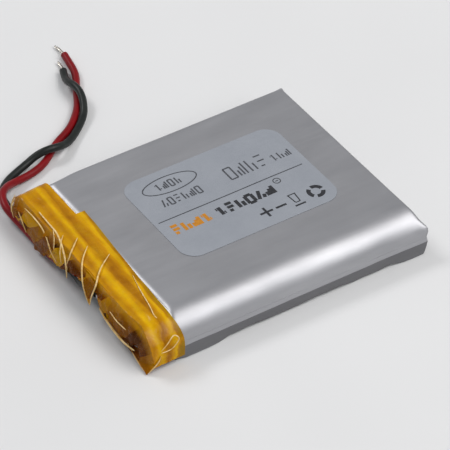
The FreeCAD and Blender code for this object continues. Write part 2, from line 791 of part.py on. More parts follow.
def build():
    upper_shell()
    lower_shell()
    windings()
    tab("positive_tab", 1, 30.0)
    tab("negative_tab", -1, 30.0)
    seal_film("positive_tab_film", 1)
    seal_film("negative_tab_film", -1)
    pcm_board()
    board_insulator()
    copper_pads()
    nickel_plate("positive_nickel_plate", 1)
    nickel_plate("negative_nickel_plate", -1)
    for label, place in CHIP_PLACES:
        chip(label, place)
        chip_pins(label + "_pins", place)
    passives()
    solder_joint("red_solder_joint", RED_JOINT_Y)
    solder_joint("black_solder_joint", BLACK_JOINT_Y)
    tapes()
    label_sheet()
    leads()
    doc.recompute()


def write():
    for item in doc.Objects:
        if "Invalid" in item.State or "Error" in item.State:
            raise ValueError("%s failed: %s" % (item.Name, item.State))
    os.makedirs("parts", exist_ok=True)
    for item in sub_parts:
        shape = item.Shape
        if shape.isNull() or not shape.isValid():
            raise ValueError("%s has no valid shape" % item.Label)
        print("%-24s %d solid(s) %10.3f mm3" % (item.Label, len(shape.Solids), shape.Volume))
        shape.exportStep("parts/%s.step" % item.Label)


build()
write()
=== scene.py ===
import math

import bpy
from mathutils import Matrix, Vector, noise


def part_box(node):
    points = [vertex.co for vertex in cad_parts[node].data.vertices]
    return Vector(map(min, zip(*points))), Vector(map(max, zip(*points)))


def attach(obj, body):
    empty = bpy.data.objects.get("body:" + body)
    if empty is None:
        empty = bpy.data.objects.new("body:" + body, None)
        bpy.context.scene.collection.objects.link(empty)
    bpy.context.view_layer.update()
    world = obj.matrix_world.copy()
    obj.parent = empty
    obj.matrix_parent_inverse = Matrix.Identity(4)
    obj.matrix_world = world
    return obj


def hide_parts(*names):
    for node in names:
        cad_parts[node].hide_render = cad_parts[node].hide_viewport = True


# Looks of a lithium polymer pouch cell: crumpled laminate pouch, amber tape over the
# terminal end, printed label and two loosely twisted leads.
# Lengths below are in millimetres, and MM turns them into metres.

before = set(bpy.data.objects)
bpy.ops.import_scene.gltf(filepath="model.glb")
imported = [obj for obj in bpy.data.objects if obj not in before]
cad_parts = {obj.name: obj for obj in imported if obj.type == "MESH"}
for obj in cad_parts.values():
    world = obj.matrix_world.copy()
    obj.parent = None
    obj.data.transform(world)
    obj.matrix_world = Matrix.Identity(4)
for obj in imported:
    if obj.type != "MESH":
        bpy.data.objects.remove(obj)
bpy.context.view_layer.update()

MM = 0.001
scene = bpy.context.scene


def corners(node):
    low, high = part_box(node)
    return low / MM, high / MM


# ---- places from the frame

upper_low, upper_high = corners("pouch_upper_shell")
lower_high = corners("pouch_lower_shell")[1]
label_low, label_high = corners("label")

# What the upper shell holds beyond its cup: sealed terrace, far ridge and side flanges.
# The lower cup stands in from the upper one by its own step.
TERRACE = 2.6
TERRACE_HALF = 20.0
RIDGE = 0.3
FLANGE_OUT = 0.3
LOWER_STEP = 0.2

TOP = upper_high.z
SEAM = lower_high.z
CUP_START = upper_low.x + TERRACE
CUP_END = upper_high.x - RIDGE
UPPER_HALF = upper_high.y - FLANGE_OUT
LOWER_HALF = UPPER_HALF - LOWER_STEP

# Thicknesses of the sheets.
LAMINATE = 0.11
SEALED_LAMINATE = 0.16
LABEL_FILM = 0.05
TAPE_FILM = 0.055
LOOSE_FILM = 0.05

LEAD_DIAMETER = 1.3
STRAND_DIAMETER = 0.16
LAY_TURNS = 0.9


# ---- small maths

def smooth(t):
    t = max(0.0, min(1.0, t))
    return t * t * (3.0 - 2.0 * t)


def mix(a, b, t):
    return a + (b - a) * t


def wave(x, y, z, scale, shift=0.0):
    """Smooth noise from -1 to 1 with features of about the given size in millimetres."""
    return noise.noise(Vector((x / scale + shift, y / scale - shift, z / scale + 3.7 * shift)))


# ---- camera

def make_camera():
    target = Vector((0.51, -1.18, 3.5)) * MM
    azimuth = math.radians(-33.01)
    elevation = math.radians(40.42)
    distance = 543.46 * MM
    back = Vector((math.sin(azimuth) * math.cos(elevation),
                   -math.cos(azimuth) * math.cos(elevation),
                   math.sin(elevation)))
    data = bpy.data.cameras.new("camera")
    data.lens = 270.5
    data.sensor_width = 36.0
    data.clip_start = 0.01
    data.clip_end = 20.0
    camera = bpy.data.objects.new("camera", data)
    camera.location = target + back * distance
    camera.rotation_mode = "QUATERNION"
    camera.rotation_quaternion = (-back).to_track_quat("-Z", "Y")
    scene.collection.objects.link(camera)
    scene.camera = camera


# ---- materials

class Nodes:
    """Short way to wire one Principled material."""

    def __init__(self, name):
        self.material = bpy.data.materials.new(name)
        self.material.use_nodes = True
        self.tree = self.material.node_tree
        self.surface = self.tree.nodes["Principled BSDF"]
        self.output = self.tree.nodes["Material Output"]
        self.place = self.tree.nodes.new("ShaderNodeTexCoord").outputs["Object"]

    def add(self, kind, **values):
        node = self.tree.nodes.new(kind)
        for name, value in values.items():
            setattr(node, name, value)
        return node

    def link(self, source, target):
        self.tree.links.new(source, target)

    def scaled(self, size, stretch=(1.0, 1.0, 1.0), turn=(0.0, 0.0, 0.0)):
        """Coordinates in which one unit is size millimetres, longer along stretch."""
        mapping = self.add("ShaderNodeMapping", vector_type="TEXTURE")
        for axis in range(3):
            mapping.inputs["Rotation"].default_value[axis] = turn[axis]
            mapping.inputs["Scale"].default_value[axis] = size * MM * stretch[axis]
        self.link(self.place, mapping.inputs["Vector"])
        return mapping.outputs["Vector"]

    def noise(self, size, stretch=(1.0, 1.0, 1.0), detail=3.0):
        texture = self.add("ShaderNodeTexNoise")
        texture.inputs["Scale"].default_value = 1.0
        texture.inputs["Detail"].default_value = detail
        texture.inputs["Roughness"].default_value = 0.55
        self.link(self.scaled(size, stretch), texture.inputs["Vector"])
        return texture.outputs["Fac"]

    def ramp(self, source, stops):
        ramp = self.add("ShaderNodeValToRGB")
        elements = ramp.color_ramp.elements
        while len(elements) < len(stops):
            elements.new(0.5)
        for element, (position, colour) in zip(elements, stops):
            element.position = position
            element.color = (*colour, 1.0)
        self.link(source, ramp.inputs["Fac"])
        return ramp.outputs["Color"]

    def tones(self, source, dark, light):
        """Colour between two tones, by a noise."""
        return self.ramp(source, [(0.3, dark), (0.7, light)])

    def span(self, source, low, high, from_low=0.3, from_high=0.7):
        """Value between low and high, held at each outside the source's range."""
        rescale = self.add("ShaderNodeMapRange")
        rescale.inputs["From Min"].default_value = from_low
        rescale.inputs["From Max"].default_value = from_high
        rescale.inputs["To Min"].default_value = low
        rescale.inputs["To Max"].default_value = high
        self.link(source, rescale.inputs["Value"])
        return rescale.outputs["Result"]

    def blend(self, factor, first, second):
        """Colour between two colours; the factor is a number or an output."""
        node = self.add("ShaderNodeMix", data_type="RGBA")
        if isinstance(factor, float):
            node.inputs[0].default_value = factor
        else:
            self.link(factor, node.inputs[0])
        self.link(first, node.inputs[6])
        self.link(second, node.inputs[7])
        return node.outputs[2]

    def weighted_sum(self, first, weight, second):
        node = self.add("ShaderNodeMath", operation="MULTIPLY_ADD")
        node.inputs[1].default_value = weight
        self.link(first, node.inputs[0])
        self.link(second, node.inputs[2])
        return node.outputs[0]

    def colour(self, source):
        self.link(source, self.surface.inputs["Base Color"])

    def roughness(self, source):
        self.link(source, self.surface.inputs["Roughness"])

    def bump(self, source, depth, strength, before=None):
        node = self.add("ShaderNodeBump")
        node.inputs["Strength"].default_value = strength
        node.inputs["Distance"].default_value = depth * MM
        self.link(source, node.inputs["Height"])
        if before is not None:
            self.link(before, node.inputs["Normal"])
        self.link(node.outputs["Normal"], self.surface.inputs["Normal"])
        return node.outputs["Normal"]

    def set(self, **values):
        for name, value in values.items():
            self.surface.inputs[name.replace("_", " ")].default_value = value


def uneven(name, dark, light, noises, rough, bump, **values):
    """Finish whose tone, gloss and grain each follow a noise of its own size and detail."""
    kit = Nodes(name)
    tone, gloss, grain = (kit.noise(size, detail=detail) for size, detail in noises)
    kit.colour(kit.tones(tone, dark, light))
    kit.roughness(kit.span(gloss, *rough))
    kit.bump(grain, *bump)
    kit.set(**values)
    return kit.material


def mottled(name, dark, light, size, rough, metallic):
    """Finish with patches of the given size."""
    noises = [(size, 4.0), (size * 0.6, 3.0), (0.15, 2.0)]
    return uneven(name, dark, light, noises, rough, (0.01, 0.5), Metallic=metallic)


def laminate_material(name, shade=1.0):
    """Nylon-faced aluminium laminate: satin, faintly rolled lengthwise, softly dented. A shade
    below 1 darkens its tone as painted shade.
    """
    kit = Nodes(name)
    dark = tuple(c * shade for c in (0.385, 0.385, 0.405))
    light = tuple(c * shade for c in (0.445, 0.445, 0.465))
    patches = kit.tones(kit.noise(7.0, (1.6, 1.0, 1.0), detail=5.0), dark, light)
    streaks = kit.tones(kit.noise(1.3, (14.0, 1.0, 1.0), detail=4.0), dark, light)
    kit.colour(kit.blend(0.4, patches, streaks))
    kit.roughness(kit.span(kit.noise(3.0, (4.0, 1.0, 1.0), detail=4.0), 0.44, 0.52))
    rolled = kit.bump(kit.noise(0.9, (22.0, 1.0, 1.0)), 0.004, 0.6)
    kit.bump(kit.noise(3.0, (1.8, 1.0, 1.0), detail=2.0), 0.05, 0.45, before=rolled)
    kit.set(Metallic=0.85)
    return kit.material


def label_material():
    """Matt film label, very slightly blue, with a fine tooth."""
    return uneven("label_film", (0.315, 0.335, 0.375), (0.345, 0.365, 0.405),
                  [(6.0, 3.0), (0.8, 4.0), (0.12, 2.0)], (0.38, 0.5), (0.004, 0.4), Metallic=0.25)


def ink_material(name, dark, light):
    """Printed ink, slightly uneven in tone and gloss."""
    noises = [(0.5, 4.0), (0.3, 3.0), (0.08, 3.0)]
    return uneven(name, dark, light, noises, (0.35, 0.55), (0.003, 0.5))


def rubber_material(name, dark, light):
    """Soft lead insulation with handling marks."""
    noises = [(2.2, 5.0), (0.9, 4.0), (0.35, 3.0)]
    return uneven(name, dark, light, noises, (0.3, 0.46), (0.02, 0.35), Specular_IOR_Level=0.22)


DEEP = (0.36, 0.13, 0.0)
BROWN = (0.46, 0.185, 0.0)
OLIVE = (0.31, 0.19, 0.001)
GOLD = (0.66, 0.31, 0.0)
YELLOW = (0.84, 0.49, 0.001)
# Bands across the wrap, partly painted light: yellow painted highlights and deep brown painted
# shade over the hollow.
BANDS_AND_PAINTED_LIGHT = [
    (0.0, DEEP), (0.1, BROWN), (0.16, GOLD), (0.32, BROWN), (0.38, GOLD), (0.44, YELLOW),
    (0.48, YELLOW), (0.55, GOLD), (0.61, DEEP), (0.71, BROWN), (0.77, GOLD), (0.82, YELLOW),
    (0.86, YELLOW), (0.91, BROWN), (0.96, OLIVE), (1.0, OLIVE)]
# Tones of the facets on the end face, partly painted light: the near-black ones are painted shade
# of the hollow seen through the film, the yellow ones painted highlights on facets turned to the
# light.
FACET_TONES_AND_PAINTED_LIGHT = [
    (0.0, (0.06, 0.025, 0.001)), (0.3, (0.22, 0.07, 0.001)), (0.5, BROWN), (0.7, GOLD),
    (0.9, YELLOW)]


def tape_bands_and_painted_light(kit, axes):
    """Gold and brown bands along the wrap, swaying and slightly slanted, with patches. The bands
    are partly the film's own layering and partly painted light: the yellow bands are painted
    highlights, the deep brown ones painted shade where the film lies over the hollow.
    """
    slanted = kit.weighted_sum(axes.outputs["Y"], -0.05, axes.outputs["X"])
    across = kit.span(slanted, 0.0, 1.0, -26.7 * MM, -19.3 * MM)
    sway = kit.span(kit.noise(2.2, (1.0, 7.0, 1.0), detail=4.0), -0.07, 0.07)
    bands = kit.ramp(kit.weighted_sum(across, 1.0, sway), BANDS_AND_PAINTED_LIGHT)
    patches = kit.ramp(kit.noise(2.6, (1.0, 1.8, 1.0), detail=4.0), [
        (0.34, DEEP), (0.48, GOLD), (0.64, YELLOW)])
    return kit.blend(0.28, bands, patches)


def film_cells(kit):
    """Random numbers that are the same all over each facet of the crumpled film."""
    cells = kit.add("ShaderNodeTexVoronoi")
    cells.inputs["Scale"].default_value = 1.0
    kit.link(kit.scaled(3.4, (0.6, 0.7, 2.2), turn=(0.7, 0.0, 0.2)), cells.inputs["Vector"])
    numbers = kit.add("ShaderNodeSeparateColor")
    kit.link(cells.outputs["Color"], numbers.inputs["Color"])
    return numbers.outputs


def tape_material(name):
    """Amber polyimide film: bands along the wrap and partly see-through facets on the end, whose
    tones hold painted highlights and painted shade.
    """
    kit = Nodes(name)
    axes = kit.add("ShaderNodeSeparateXYZ")
    kit.link(kit.place, axes.inputs["Vector"])
    cell = film_cells(kit)
    on_end = kit.span(axes.outputs["X"], 1.0, 0.0, -26.35 * MM, -25.75 * MM)
    kit.colour(kit.blend(on_end, tape_bands_and_painted_light(kit, axes), kit.ramp(cell["Red"], FACET_TONES_AND_PAINTED_LIGHT)))
    kit.roughness(kit.span(kit.noise(1.3), 0.18, 0.32))
    kit.bump(kit.noise(0.7, (1.0, 3.0, 1.0)), 0.02, 0.5)
    kit.set(Coat_Weight=0.05, Coat_Roughness=0.12, Specular_IOR_Level=0.18)

    clear = kit.add("ShaderNodeBsdfTransparent")
    clear.inputs["Color"].default_value = (0.72, 0.34, 0.012, 1.0)
    cover = kit.add("ShaderNodeMix", data_type="FLOAT")
    kit.link(on_end, cover.inputs[0])
    kit.link(kit.span(kit.noise(3.0), 0.72, 0.92), cover.inputs[2])
    kit.link(kit.span(cell["Green"], 0.22, 0.62, 0.0, 1.0), cover.inputs[3])
    film = kit.add("ShaderNodeMixShader")
    kit.link(cover.outputs[0], film.inputs["Fac"])
    kit.link(clear.outputs["BSDF"], film.inputs[1])
    kit.link(kit.surface.outputs["BSDF"], film.inputs[2])
    kit.link(film.outputs["Shader"], kit.output.inputs["Surface"])
    return kit.material


def fold_material():
    """Tight folds of the film, coloured cream: a painted highlight for the glint they catch."""
    return uneven("polyimide_fold_painted_glint", (0.62, 0.36, 0.07), (0.92, 0.7, 0.34),
                  [(0.8, 3.0), (0.5, 3.0), (0.2, 2.0)], (0.12, 0.3), (0.01, 0.5))


def board_material():
    """Glass-epoxy board with green mask over its woven cloth."""
    kit = Nodes("board_mask")
    cloth = kit.add("ShaderNodeTexBrick")
    cloth.inputs["Scale"].default_value = 1.0
    cloth.inputs["Color1"].default_value = (0.012, 0.1, 0.035, 1.0)
    cloth.inputs["Color2"].default_value = (0.02, 0.15, 0.05, 1.0)
    cloth.inputs["Mortar"].default_value = (0.008, 0.07, 0.025, 1.0)
    kit.link(kit.scaled(0.5), cloth.inputs["Vector"])
    kit.colour(cloth.outputs["Color"])
    kit.roughness(kit.span(kit.noise(0.8), 0.22, 0.38))
    kit.bump(cloth.outputs["Fac"], 0.02, 0.3)
    return kit.material


# Hidden nodes and the names of their materials, then the finish these nodes share: dark
# and light tone, size of the patches, roughness and metal.
FINISHES = [
    ({"cathode_winding": "cathode_coating"},
     (0.015, 0.015, 0.017), (0.04, 0.04, 0.045), 0.8, (0.6, 0.8), 0.0),
    ({"anode_winding": "anode_coating"},
     (0.03, 0.03, 0.032), (0.08, 0.075, 0.07), 0.7, (0.5, 0.7), 0.2),
    ({"separator_inner": "separator_film", "separator_outer": "separator_film_outer"},
     (0.72, 0.72, 0.7), (0.82, 0.82, 0.8), 3.0, (0.4, 0.55), 0.0),
    ({"roll_closing_tape": "roll_tape_film"},
     (0.1, 0.22, 0.1), (0.14, 0.3, 0.14), 2.0, (0.3, 0.45), 0.0),
    ({"positive_tab": "tab_aluminium"},
     (0.62, 0.62, 0.63), (0.78, 0.78, 0.79), 0.9, (0.25, 0.4), 1.0),
    ({"negative_tab": "tab_nickel"},
     (0.5, 0.47, 0.42), (0.64, 0.61, 0.55), 0.9, (0.22, 0.36), 1.0),
    ({"positive_tab_film": "tab_film_positive", "negative_tab_film": "tab_film_negative"},
     (0.1, 0.09, 0.08), (0.16, 0.15, 0.13), 0.8, (0.4, 0.6), 0.0),
    ({"board_insulator": "insulating_paper"},
     (0.3, 0.32, 0.28), (0.42, 0.44, 0.38), 0.6, (0.7, 0.85), 0.0),
    ({"pcm_pads": "copper_lands"},
     (0.62, 0.3, 0.16), (0.8, 0.42, 0.24), 0.4, (0.2, 0.4), 1.0),
    ({"positive_nickel_plate": "nickel_positive", "negative_nickel_plate": "nickel_negative"},
     (0.5, 0.48, 0.44), (0.66, 0.63, 0.58), 0.5, (0.2, 0.35), 1.0),
    ({"protection_ic": "chip_epoxy", "mosfet_pair": "chip_epoxy_pair"},
     (0.01, 0.01, 0.012), (0.03, 0.03, 0.032), 0.2, (0.45, 0.65), 0.0),
    ({"protection_ic_pins": "pin_tin", "mosfet_pair_pins": "pin_tin_pair"},
     (0.6, 0.6, 0.6), (0.78, 0.78, 0.77), 0.3, (0.25, 0.4), 1.0),
    ({"chip_resistors": "resistor_glaze"},
     (0.02, 0.02, 0.025), (0.05, 0.05, 0.06), 0.2, (0.3, 0.5), 0.0),
    ({"chip_capacitor": "capacitor_ceramic"},
     (0.36, 0.25, 0.15), (0.46, 0.33, 0.21), 0.2, (0.4, 0.6), 0.0),
    ({"red_solder_joint": "solder_red", "black_solder_joint": "solder_black"},
     (0.55, 0.55, 0.55), (0.74, 0.74, 0.73), 0.4, (0.18, 0.34), 1.0),
]


def finish_cad_nodes():
    """The hidden pieces stay as designed and take a worn, uneven finish each."""
    for names, *finish in FINISHES:
        for node, name in names.items():
            assign(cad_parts[node], mottled(name, *finish))
    assign(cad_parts["pcm_board"], board_material())


def assign(piece, material):
    piece.data.materials.clear()
    piece.data.materials.append(material)


# ---- mesh helpers

def mesh_piece(name, points, faces, material):
    """Smooth mesh from points in millimetres."""
    mesh = bpy.data.meshes.new(name)
    mesh.from_pydata([tuple(c * MM for c in p) for p in points], [], faces)
    mesh.materials.append(material)
    mesh.validate()
    mesh.polygons.foreach_set("use_smooth", [True] * len(mesh.polygons))
    piece = bpy.data.objects.new(name, mesh)
    scene.collection.objects.link(piece)
    return piece


def grid_faces(rows, columns, first=0, flip=False):
    """Quads of a grid whose points are listed row by row."""
    faces = []
    for i in range(rows - 1):
        for j in range(columns - 1):
            a = first + i * columns + j
            quad = (a, a + columns, a + columns + 1, a + 1)
            faces.append(tuple(reversed(quad)) if flip else quad)
    return faces


def thicken(piece, thickness, offset=-1.0):
    """Gives a sheet its thickness and keeps its cut edges crisp."""
    film = piece.modifiers.new("film", "SOLIDIFY")
    film.thickness = thickness * MM
    film.offset = offset
    piece.modifiers.new("crisp", "EDGE_SPLIT").split_angle = math.radians(50.0)
    return piece


def place(piece, slot, *nodes):
    """Fixes a piece to the cell, in place of the given nodes; the slot is not used."""
    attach(piece, "root")
    if nodes:
        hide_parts(*nodes)


# ---- leads

# Routes of the two leads, as in the design, from the solder joint to the stripped end.
RED_ROUTE = [
    (-25.74, 1.2, 4.0), (-25.74, 3.2, 3.7), (-25.73, 5.2, 2.8), (-25.68, 7.4, 1.95),
    (-25.66, 9.9, 1.42), (-25.64, 12.9, 1.24), (-25.67, 16.1, 1.22), (-25.74, 18.9, 1.36),
    (-25.96, 21.2, 1.72), (-26.09, 23.2, 2.16), (-25.61, 25.14, 2.4), (-24.55, 26.84, 2.28),
    (-22.94, 28.19, 1.72), (-21.04, 29.08, 1.08), (-18.9, 29.6, 0.74), (-16.6, 30.1, 0.66),
    (-14.4, 31.0, 0.66), (-12.6, 32.3, 0.66), (-10.9, 33.8, 0.66), (-8.95, 35.05, 0.66),
    (-6.9, 36.1, 0.66), (-5.0, 37.5, 0.66), (-3.2, 39.3, 0.66), (-1.6, 41.3, 0.66),
    (-0.4, 43.5, 0.66), (0.7, 45.6, 0.66), (1.9, 47.5, 0.66), (2.8, 49.6, 0.66),
    (3.25, 51.9, 0.66), (3.75, 54.6, 0.66)]
BLACK_ROUTE = [
    (-25.74, -4.6, 4.0), (-25.74, -2.6, 3.7), (-25.56, -0.6, 2.74), (-25.08, 1.3, 1.78),
    (-24.6, 3.6, 1.12), (-24.32, 6.6, 0.88), (-24.24, 10.2, 0.88), (-24.27, 14.2, 0.88),
    (-24.42, 18.0, 0.86), (-24.68, 21.4, 0.72), (-24.9, 24.2, 0.66), (-24.65, 26.8, 0.66),
    (-23.5, 29.0, 0.66), (-21.5, 30.6, 0.66), (-19.2, 31.6, 0.68), (-17.0, 32.3, 0.86),
    (-14.9, 32.6, 1.6), (-12.9, 32.3, 2.2), (-10.9, 32.2, 1.95), (-9.0, 32.9, 1.2),
    (-7.1, 34.1, 0.74), (-5.2, 35.6, 0.66), (-3.4, 37.1, 0.72), (-1.8, 38.8, 1.05),
    (-0.7, 40.9, 1.7), (-0.15, 43.0, 2.25), (-0.2, 45.1, 2.15), (-0.1, 47.1, 1.4),
    (0.45, 49.0, 0.82), (1.3, 50.9, 0.66)]
RED_TIP_ROUTE = [RED_ROUTE[-1], (3.98, 55.8, 0.56), (3.9, 57.9, 0.3)]
BLACK_TIP_ROUTE = [BLACK_ROUTE[-1], (1.8, 52.0, 0.56), (2.0, 53.7, 0.3)]


def smooth_curve(name, route, diameter):
    """Round cord along a smooth line with the route's points as control points."""
    data = bpy.data.curves.new(name, "CURVE")
    data.dimensions = "3D"
    spline = data.splines.new("NURBS")
    spline.points.add(len(route) - 1)
    for point, position in zip(spline.points, route):
        point.co = (*(c * MM for c in position), 1.0)
    spline.order_u = 3
    spline.use_endpoint_u = True
    spline.resolution_u = 10
    data.bevel_depth = diameter * MM / 2.0
    data.bevel_resolution = 6
    data.use_fill_caps = True
    curve = bpy.data.objects.new(name, data)
    scene.collection.objects.link(curve)
    return curve


def line_points(route):
    """Points of the smooth line itself, in millimetres."""
    guide = smooth_curve("guide", route, 0.0)
    bpy.context.view_layer.update()
    mesh = bpy.data.meshes.new_from_object(guide)
    points = [v.co / MM for v in mesh.vertices]
    bpy.data.objects.remove(guide)
    bpy.data.meshes.remove(mesh)
    return points


def with_ways_across(centres):
    """Each centre with two directions across the line, carried along it without twist."""
    side_way = None
    for i, centre in enumerate(centres):
        along = (centres[min(i + 1, len(centres) - 1)] - centres[max(i - 1, 0)]).normalized()
        if side_way is None:
            side_way = along.orthogonal().normalized()
        side_way = (side_way - along * side_way.dot(along)).normalized()
        yield centre, side_way, along.cross(side_way)


def tube_rings(centres, radii, sides, points, faces):
    """Adds a closed tube along the centres to a list of points and faces."""
    count = len(centres)
    first = len(points)
    for (centre, side_way, across), radius in zip(with_ways_across(centres), radii):
        for k in range(sides):
            angle = 2.0 * math.pi * k / sides
            offset = side_way * math.cos(angle) + across * math.sin(angle)
            points.append(tuple(centre + offset * radius))
    for i in range(count - 1):
        for k in range(sides):
            a = first + i * sides + k
            b = first + i * sides + (k + 1) % sides
            faces.append((a, b, b + sides, a + sides))
    faces.append(tuple(first + k for k in reversed(range(sides))))
    faces.append(tuple(first + (count - 1) * sides + k for k in range(sides)))


def stripped_tip(name, route, material):
    """Seven tinned strands, one straight and six laid round it, slightly splayed at the end."""
    centres = line_points(route)
    count = len(centres)
    shape = [], []
    for strand in range(7):
        path = []
        for i, (centre, side_way, across) in enumerate(with_ways_across(centres)):
            share = i / (count - 1)
            angle = 2.0 * math.pi * (strand / 6.0 + LAY_TURNS * share)
            splay = 1.0 + 0.15 * share ** 3 * (strand % 3)
            spread = 0.0 if strand == 6 else STRAND_DIAMETER * splay
            path.append(centre + (side_way * math.cos(angle) + across * math.sin(angle)) * spread)
        short = count - (strand * 2) % 5
        tube_rings(path[:short], [STRAND_DIAMETER / 2.0] * short, 8, *shape)
    return mesh_piece(name, *shape, material)


def make_leads():
    tin = mottled("tinned_strands", (0.55, 0.5, 0.44), (0.8, 0.76, 0.7), 0.5, (0.2, 0.4), 1.0)
    red = rubber_material("red_insulation", (0.16, 0.001, 0.003), (0.23, 0.002, 0.005))
    black = rubber_material("black_insulation", (0.009, 0.011, 0.01), (0.02, 0.023, 0.021))
    for name, slot, route, tip_route, length, skin in (
            ("red_lead", "lead_red", RED_ROUTE, RED_TIP_ROUTE, 68.8, red),
            ("black_lead", "lead_black", BLACK_ROUTE, BLACK_TIP_ROUTE, 72.7, black)):
        lead = smooth_curve(name + "_insulation", route, LEAD_DIAMETER)
        lead.data.materials.append(skin)
        place(lead, slot, name)
        tip = stripped_tip(name + "_strands", tip_route, tin)
        place(tip, "tinned_wire", name + "_tip")
        tuple(c * MM for c in route[0])


# ---- pouch

def wall_profile(share, height, inset):
    """Inset and rise along a straight wall that turns over an elliptic round onto the flat."""
    rise = min(height, max(inset, 0.9 * height))
    straight = height - rise
    turn = (rise + inset) * 0.785
    run = share * (straight + turn)
    if run <= straight:
        return 0.0, run
    angle = (run - straight) / turn * math.pi / 2.0
    return inset * (1.0 - math.cos(angle)), straight + rise * math.sin(angle)


def top_relief(x, y):
    """Shallow unevenness of the flat laminate over the roll inside."""
    relief = 0.1 * wave(x, y * 0.8, 0.0, 15.0, 0.3)
    relief += 0.035 * wave(x * 0.5, y, 0.0, 5.0, 1.9)
    relief += 0.012 * wave(x * 0.12, y, 0.0, 1.1, 4.1)
    crease = y - 6.2 + 0.045 * (x - 20.0)
    fold = math.exp(-(crease / 0.35) ** 2) * smooth((x - 18.2) / 1.5) * smooth((25.5 - x) / 1.5)
    return relief + 0.05 * fold


# Grid rings over a cup's wall and round the rim of its flat, and the latter's spacing.
WALL_RINGS = 16
TOP_RINGS = 9
TOP_STEP = 0.28

# How far the upper cup's wall reaches below the seam.
SEAM_DIP = 0.75

# The drawn cups: half width, height, and how far each wall and corner is rounded.
UPPER_CUP = {"half": UPPER_HALF, "height": TOP - SEAM + SEAM_DIP, "near": 4.6, "far": 1.8,
             "start": 2.1, "end": 1.2, "corner": 0.6}
LOWER_CUP = {"half": LOWER_HALF, "height": SEAM - 0.02, "near": 2.6, "far": 2.6, "start": 1.2,
             "end": 1.2, "corner": 1.7}

# Pinched ears at the far end's corners: height, size, and pull along x, y and z.
FAR_EAR = (5.6, 0.8, (0.3, 0.4, 0.2))
NEAR_EAR = (4.7, 1.0, (0.7, 0.45, 0.15))
EAR_STRETCH = 1.4
FAR_SWELL = 0.5


def ring_place(i, j, counts, cup):
    """Plan position and rise of one grid point of a cup, whose outer rings form the wall."""
    columns, rows = counts
    depth = min(i, j, columns - i, rows - j)
    share = min(1.0, depth / WALL_RINGS)
    level = min(depth, WALL_RINGS + TOP_RINGS)
    on_top = max(0, level - WALL_RINGS)
    insets, rises = [], []
    for side in ("near", "far", "start", "end"):
        inset, rise = wall_profile(share, cup["height"], cup[side])
        insets.append(inset + on_top * TOP_STEP)
        rises.append(rise)
    low_y, high_y = -cup["half"] + insets[0], cup["half"] - insets[1]
    low_x, high_x = CUP_START + insets[2], CUP_END - insets[3]
    u = (i - level) / (columns - 2.0 * level)
    v = (j - level) / (rows - 2.0 * level)
    x, y = mix(low_x, high_x, u), mix(low_y, high_y, v)
    if depth >= WALL_RINGS + TOP_RINGS:
        return x, y, cup["height"]
    corner = cup["corner"] * mix(0.5, 1.0, share)
    corner = max(0.05, corner * (1.0 - on_top / TOP_RINGS))
    end_way = -1.0 if x - low_x < high_x - x else 1.0
    side_way = -1.0 if y - low_y < high_y - y else 1.0
    corner_x = low_x if end_way < 0.0 else high_x
    corner_y = low_y if side_way < 0.0 else high_y
    rise_end = rises[2] if end_way < 0.0 else rises[3]
    rise_side = rises[0] if side_way < 0.0 else rises[1]
    on_side = depth in (j, rows - j)
    away = abs(x - corner_x) if on_side else abs(y - corner_y)
    if away >= corner:
        return x, y, rise_side if on_side else rise_end
    turn = math.pi / 4.0 * (1.0 - away / corner)
    if not on_side:
        turn = math.pi / 2.0 - turn
    x = corner_x - end_way * corner * (1.0 - math.sin(turn))
    y = corner_y - side_way * corner * (1.0 - math.cos(turn))
    return x, y, mix(rise_side, rise_end, smooth(turn / (math.pi / 2.0)))


def end_flare(x):
    """How much the folded flange stands off towards the far end."""
    return 0.15 * smooth((x - 18.0) / 7.0)


def side_swell(x, side):
    """The far side stands a little fuller than the near side."""
    return FAR_SWELL * smooth((x + 20.0) / 6.0) if side > 0.0 else 0.0


def corner_flare(x, y, z):
    """Laminate pulled outwards where the far corners were folded and pinched."""
    low = 1.0 - smooth((z - SEAM) / (TOP - SEAM - 0.6))
    side = 1.0 if y > 0.0 else -1.0
    y += side * end_flare(x) * smooth((abs(y) - 14.0) / 6.0) * low
    y += side_swell(x, side) * smooth((abs(y) - 12.0) / 7.0)
    peak, size, pull = FAR_EAR if side > 0.0 else NEAR_EAR
    off = math.hypot(x - CUP_END + 0.3, abs(y) - UPPER_HALF + 0.3)
    pinch = math.exp(-(off / size) ** 2) * math.exp(-((z - peak) / size / EAR_STRETCH) ** 2)
    return x + pull[0] * pinch, y + side * pull[1] * pinch, z + pull[2] * pinch


def cup_mesh(cup, upward):
    """One drawn cup as a single skin."""
    columns, rows = 168, 150
    points = []
    for i in range(columns + 1):
        for j in range(rows + 1):
            x, y, rise = ring_place(i, j, (columns, rows), cup)
            level = rise / cup["height"]
            if upward:
                z = SEAM - SEAM_DIP + rise + top_relief(x, y) * smooth(level * 1.3 - 0.3)
                ripple = 0.06 * wave(x, y, z, 3.4, 7.7) * (1.0 - smooth(level * 1.6 - 0.6))
                y += ripple if abs(y) > UPPER_HALF - 4.0 else 0.0
                x, y, z = corner_flare(x, y, z)
            else:
                z = SEAM - rise + 0.04 * wave(x, y, 0.0, 9.0, 5.5) * (1.0 - level)
            points.append((x, y, z))
    return points, grid_faces(columns + 1, rows + 1, flip=not upward)


# Side flange as (outward, level): it leaves the wall, turns over a crisp fold and tucks in.
FLANGE_SECTION = [(-0.12, 3.0), (-0.07, 2.8), (-0.01, 2.62), (0.05, 2.5), (0.08, 2.42),
                  (0.07, 2.34), (0.03, 2.24), (0.0, 1.95), (-0.04, 1.6), (-0.08, 1.15),
                  (-0.12, 0.7), (-0.15, 0.2)]
# Its row at the fold, the height of the fold, and how far the cut edge lies below it.
FLANGE_FOLD = 5
FOLD_LEVEL = 2.34
FOLD_DROP = 2.14


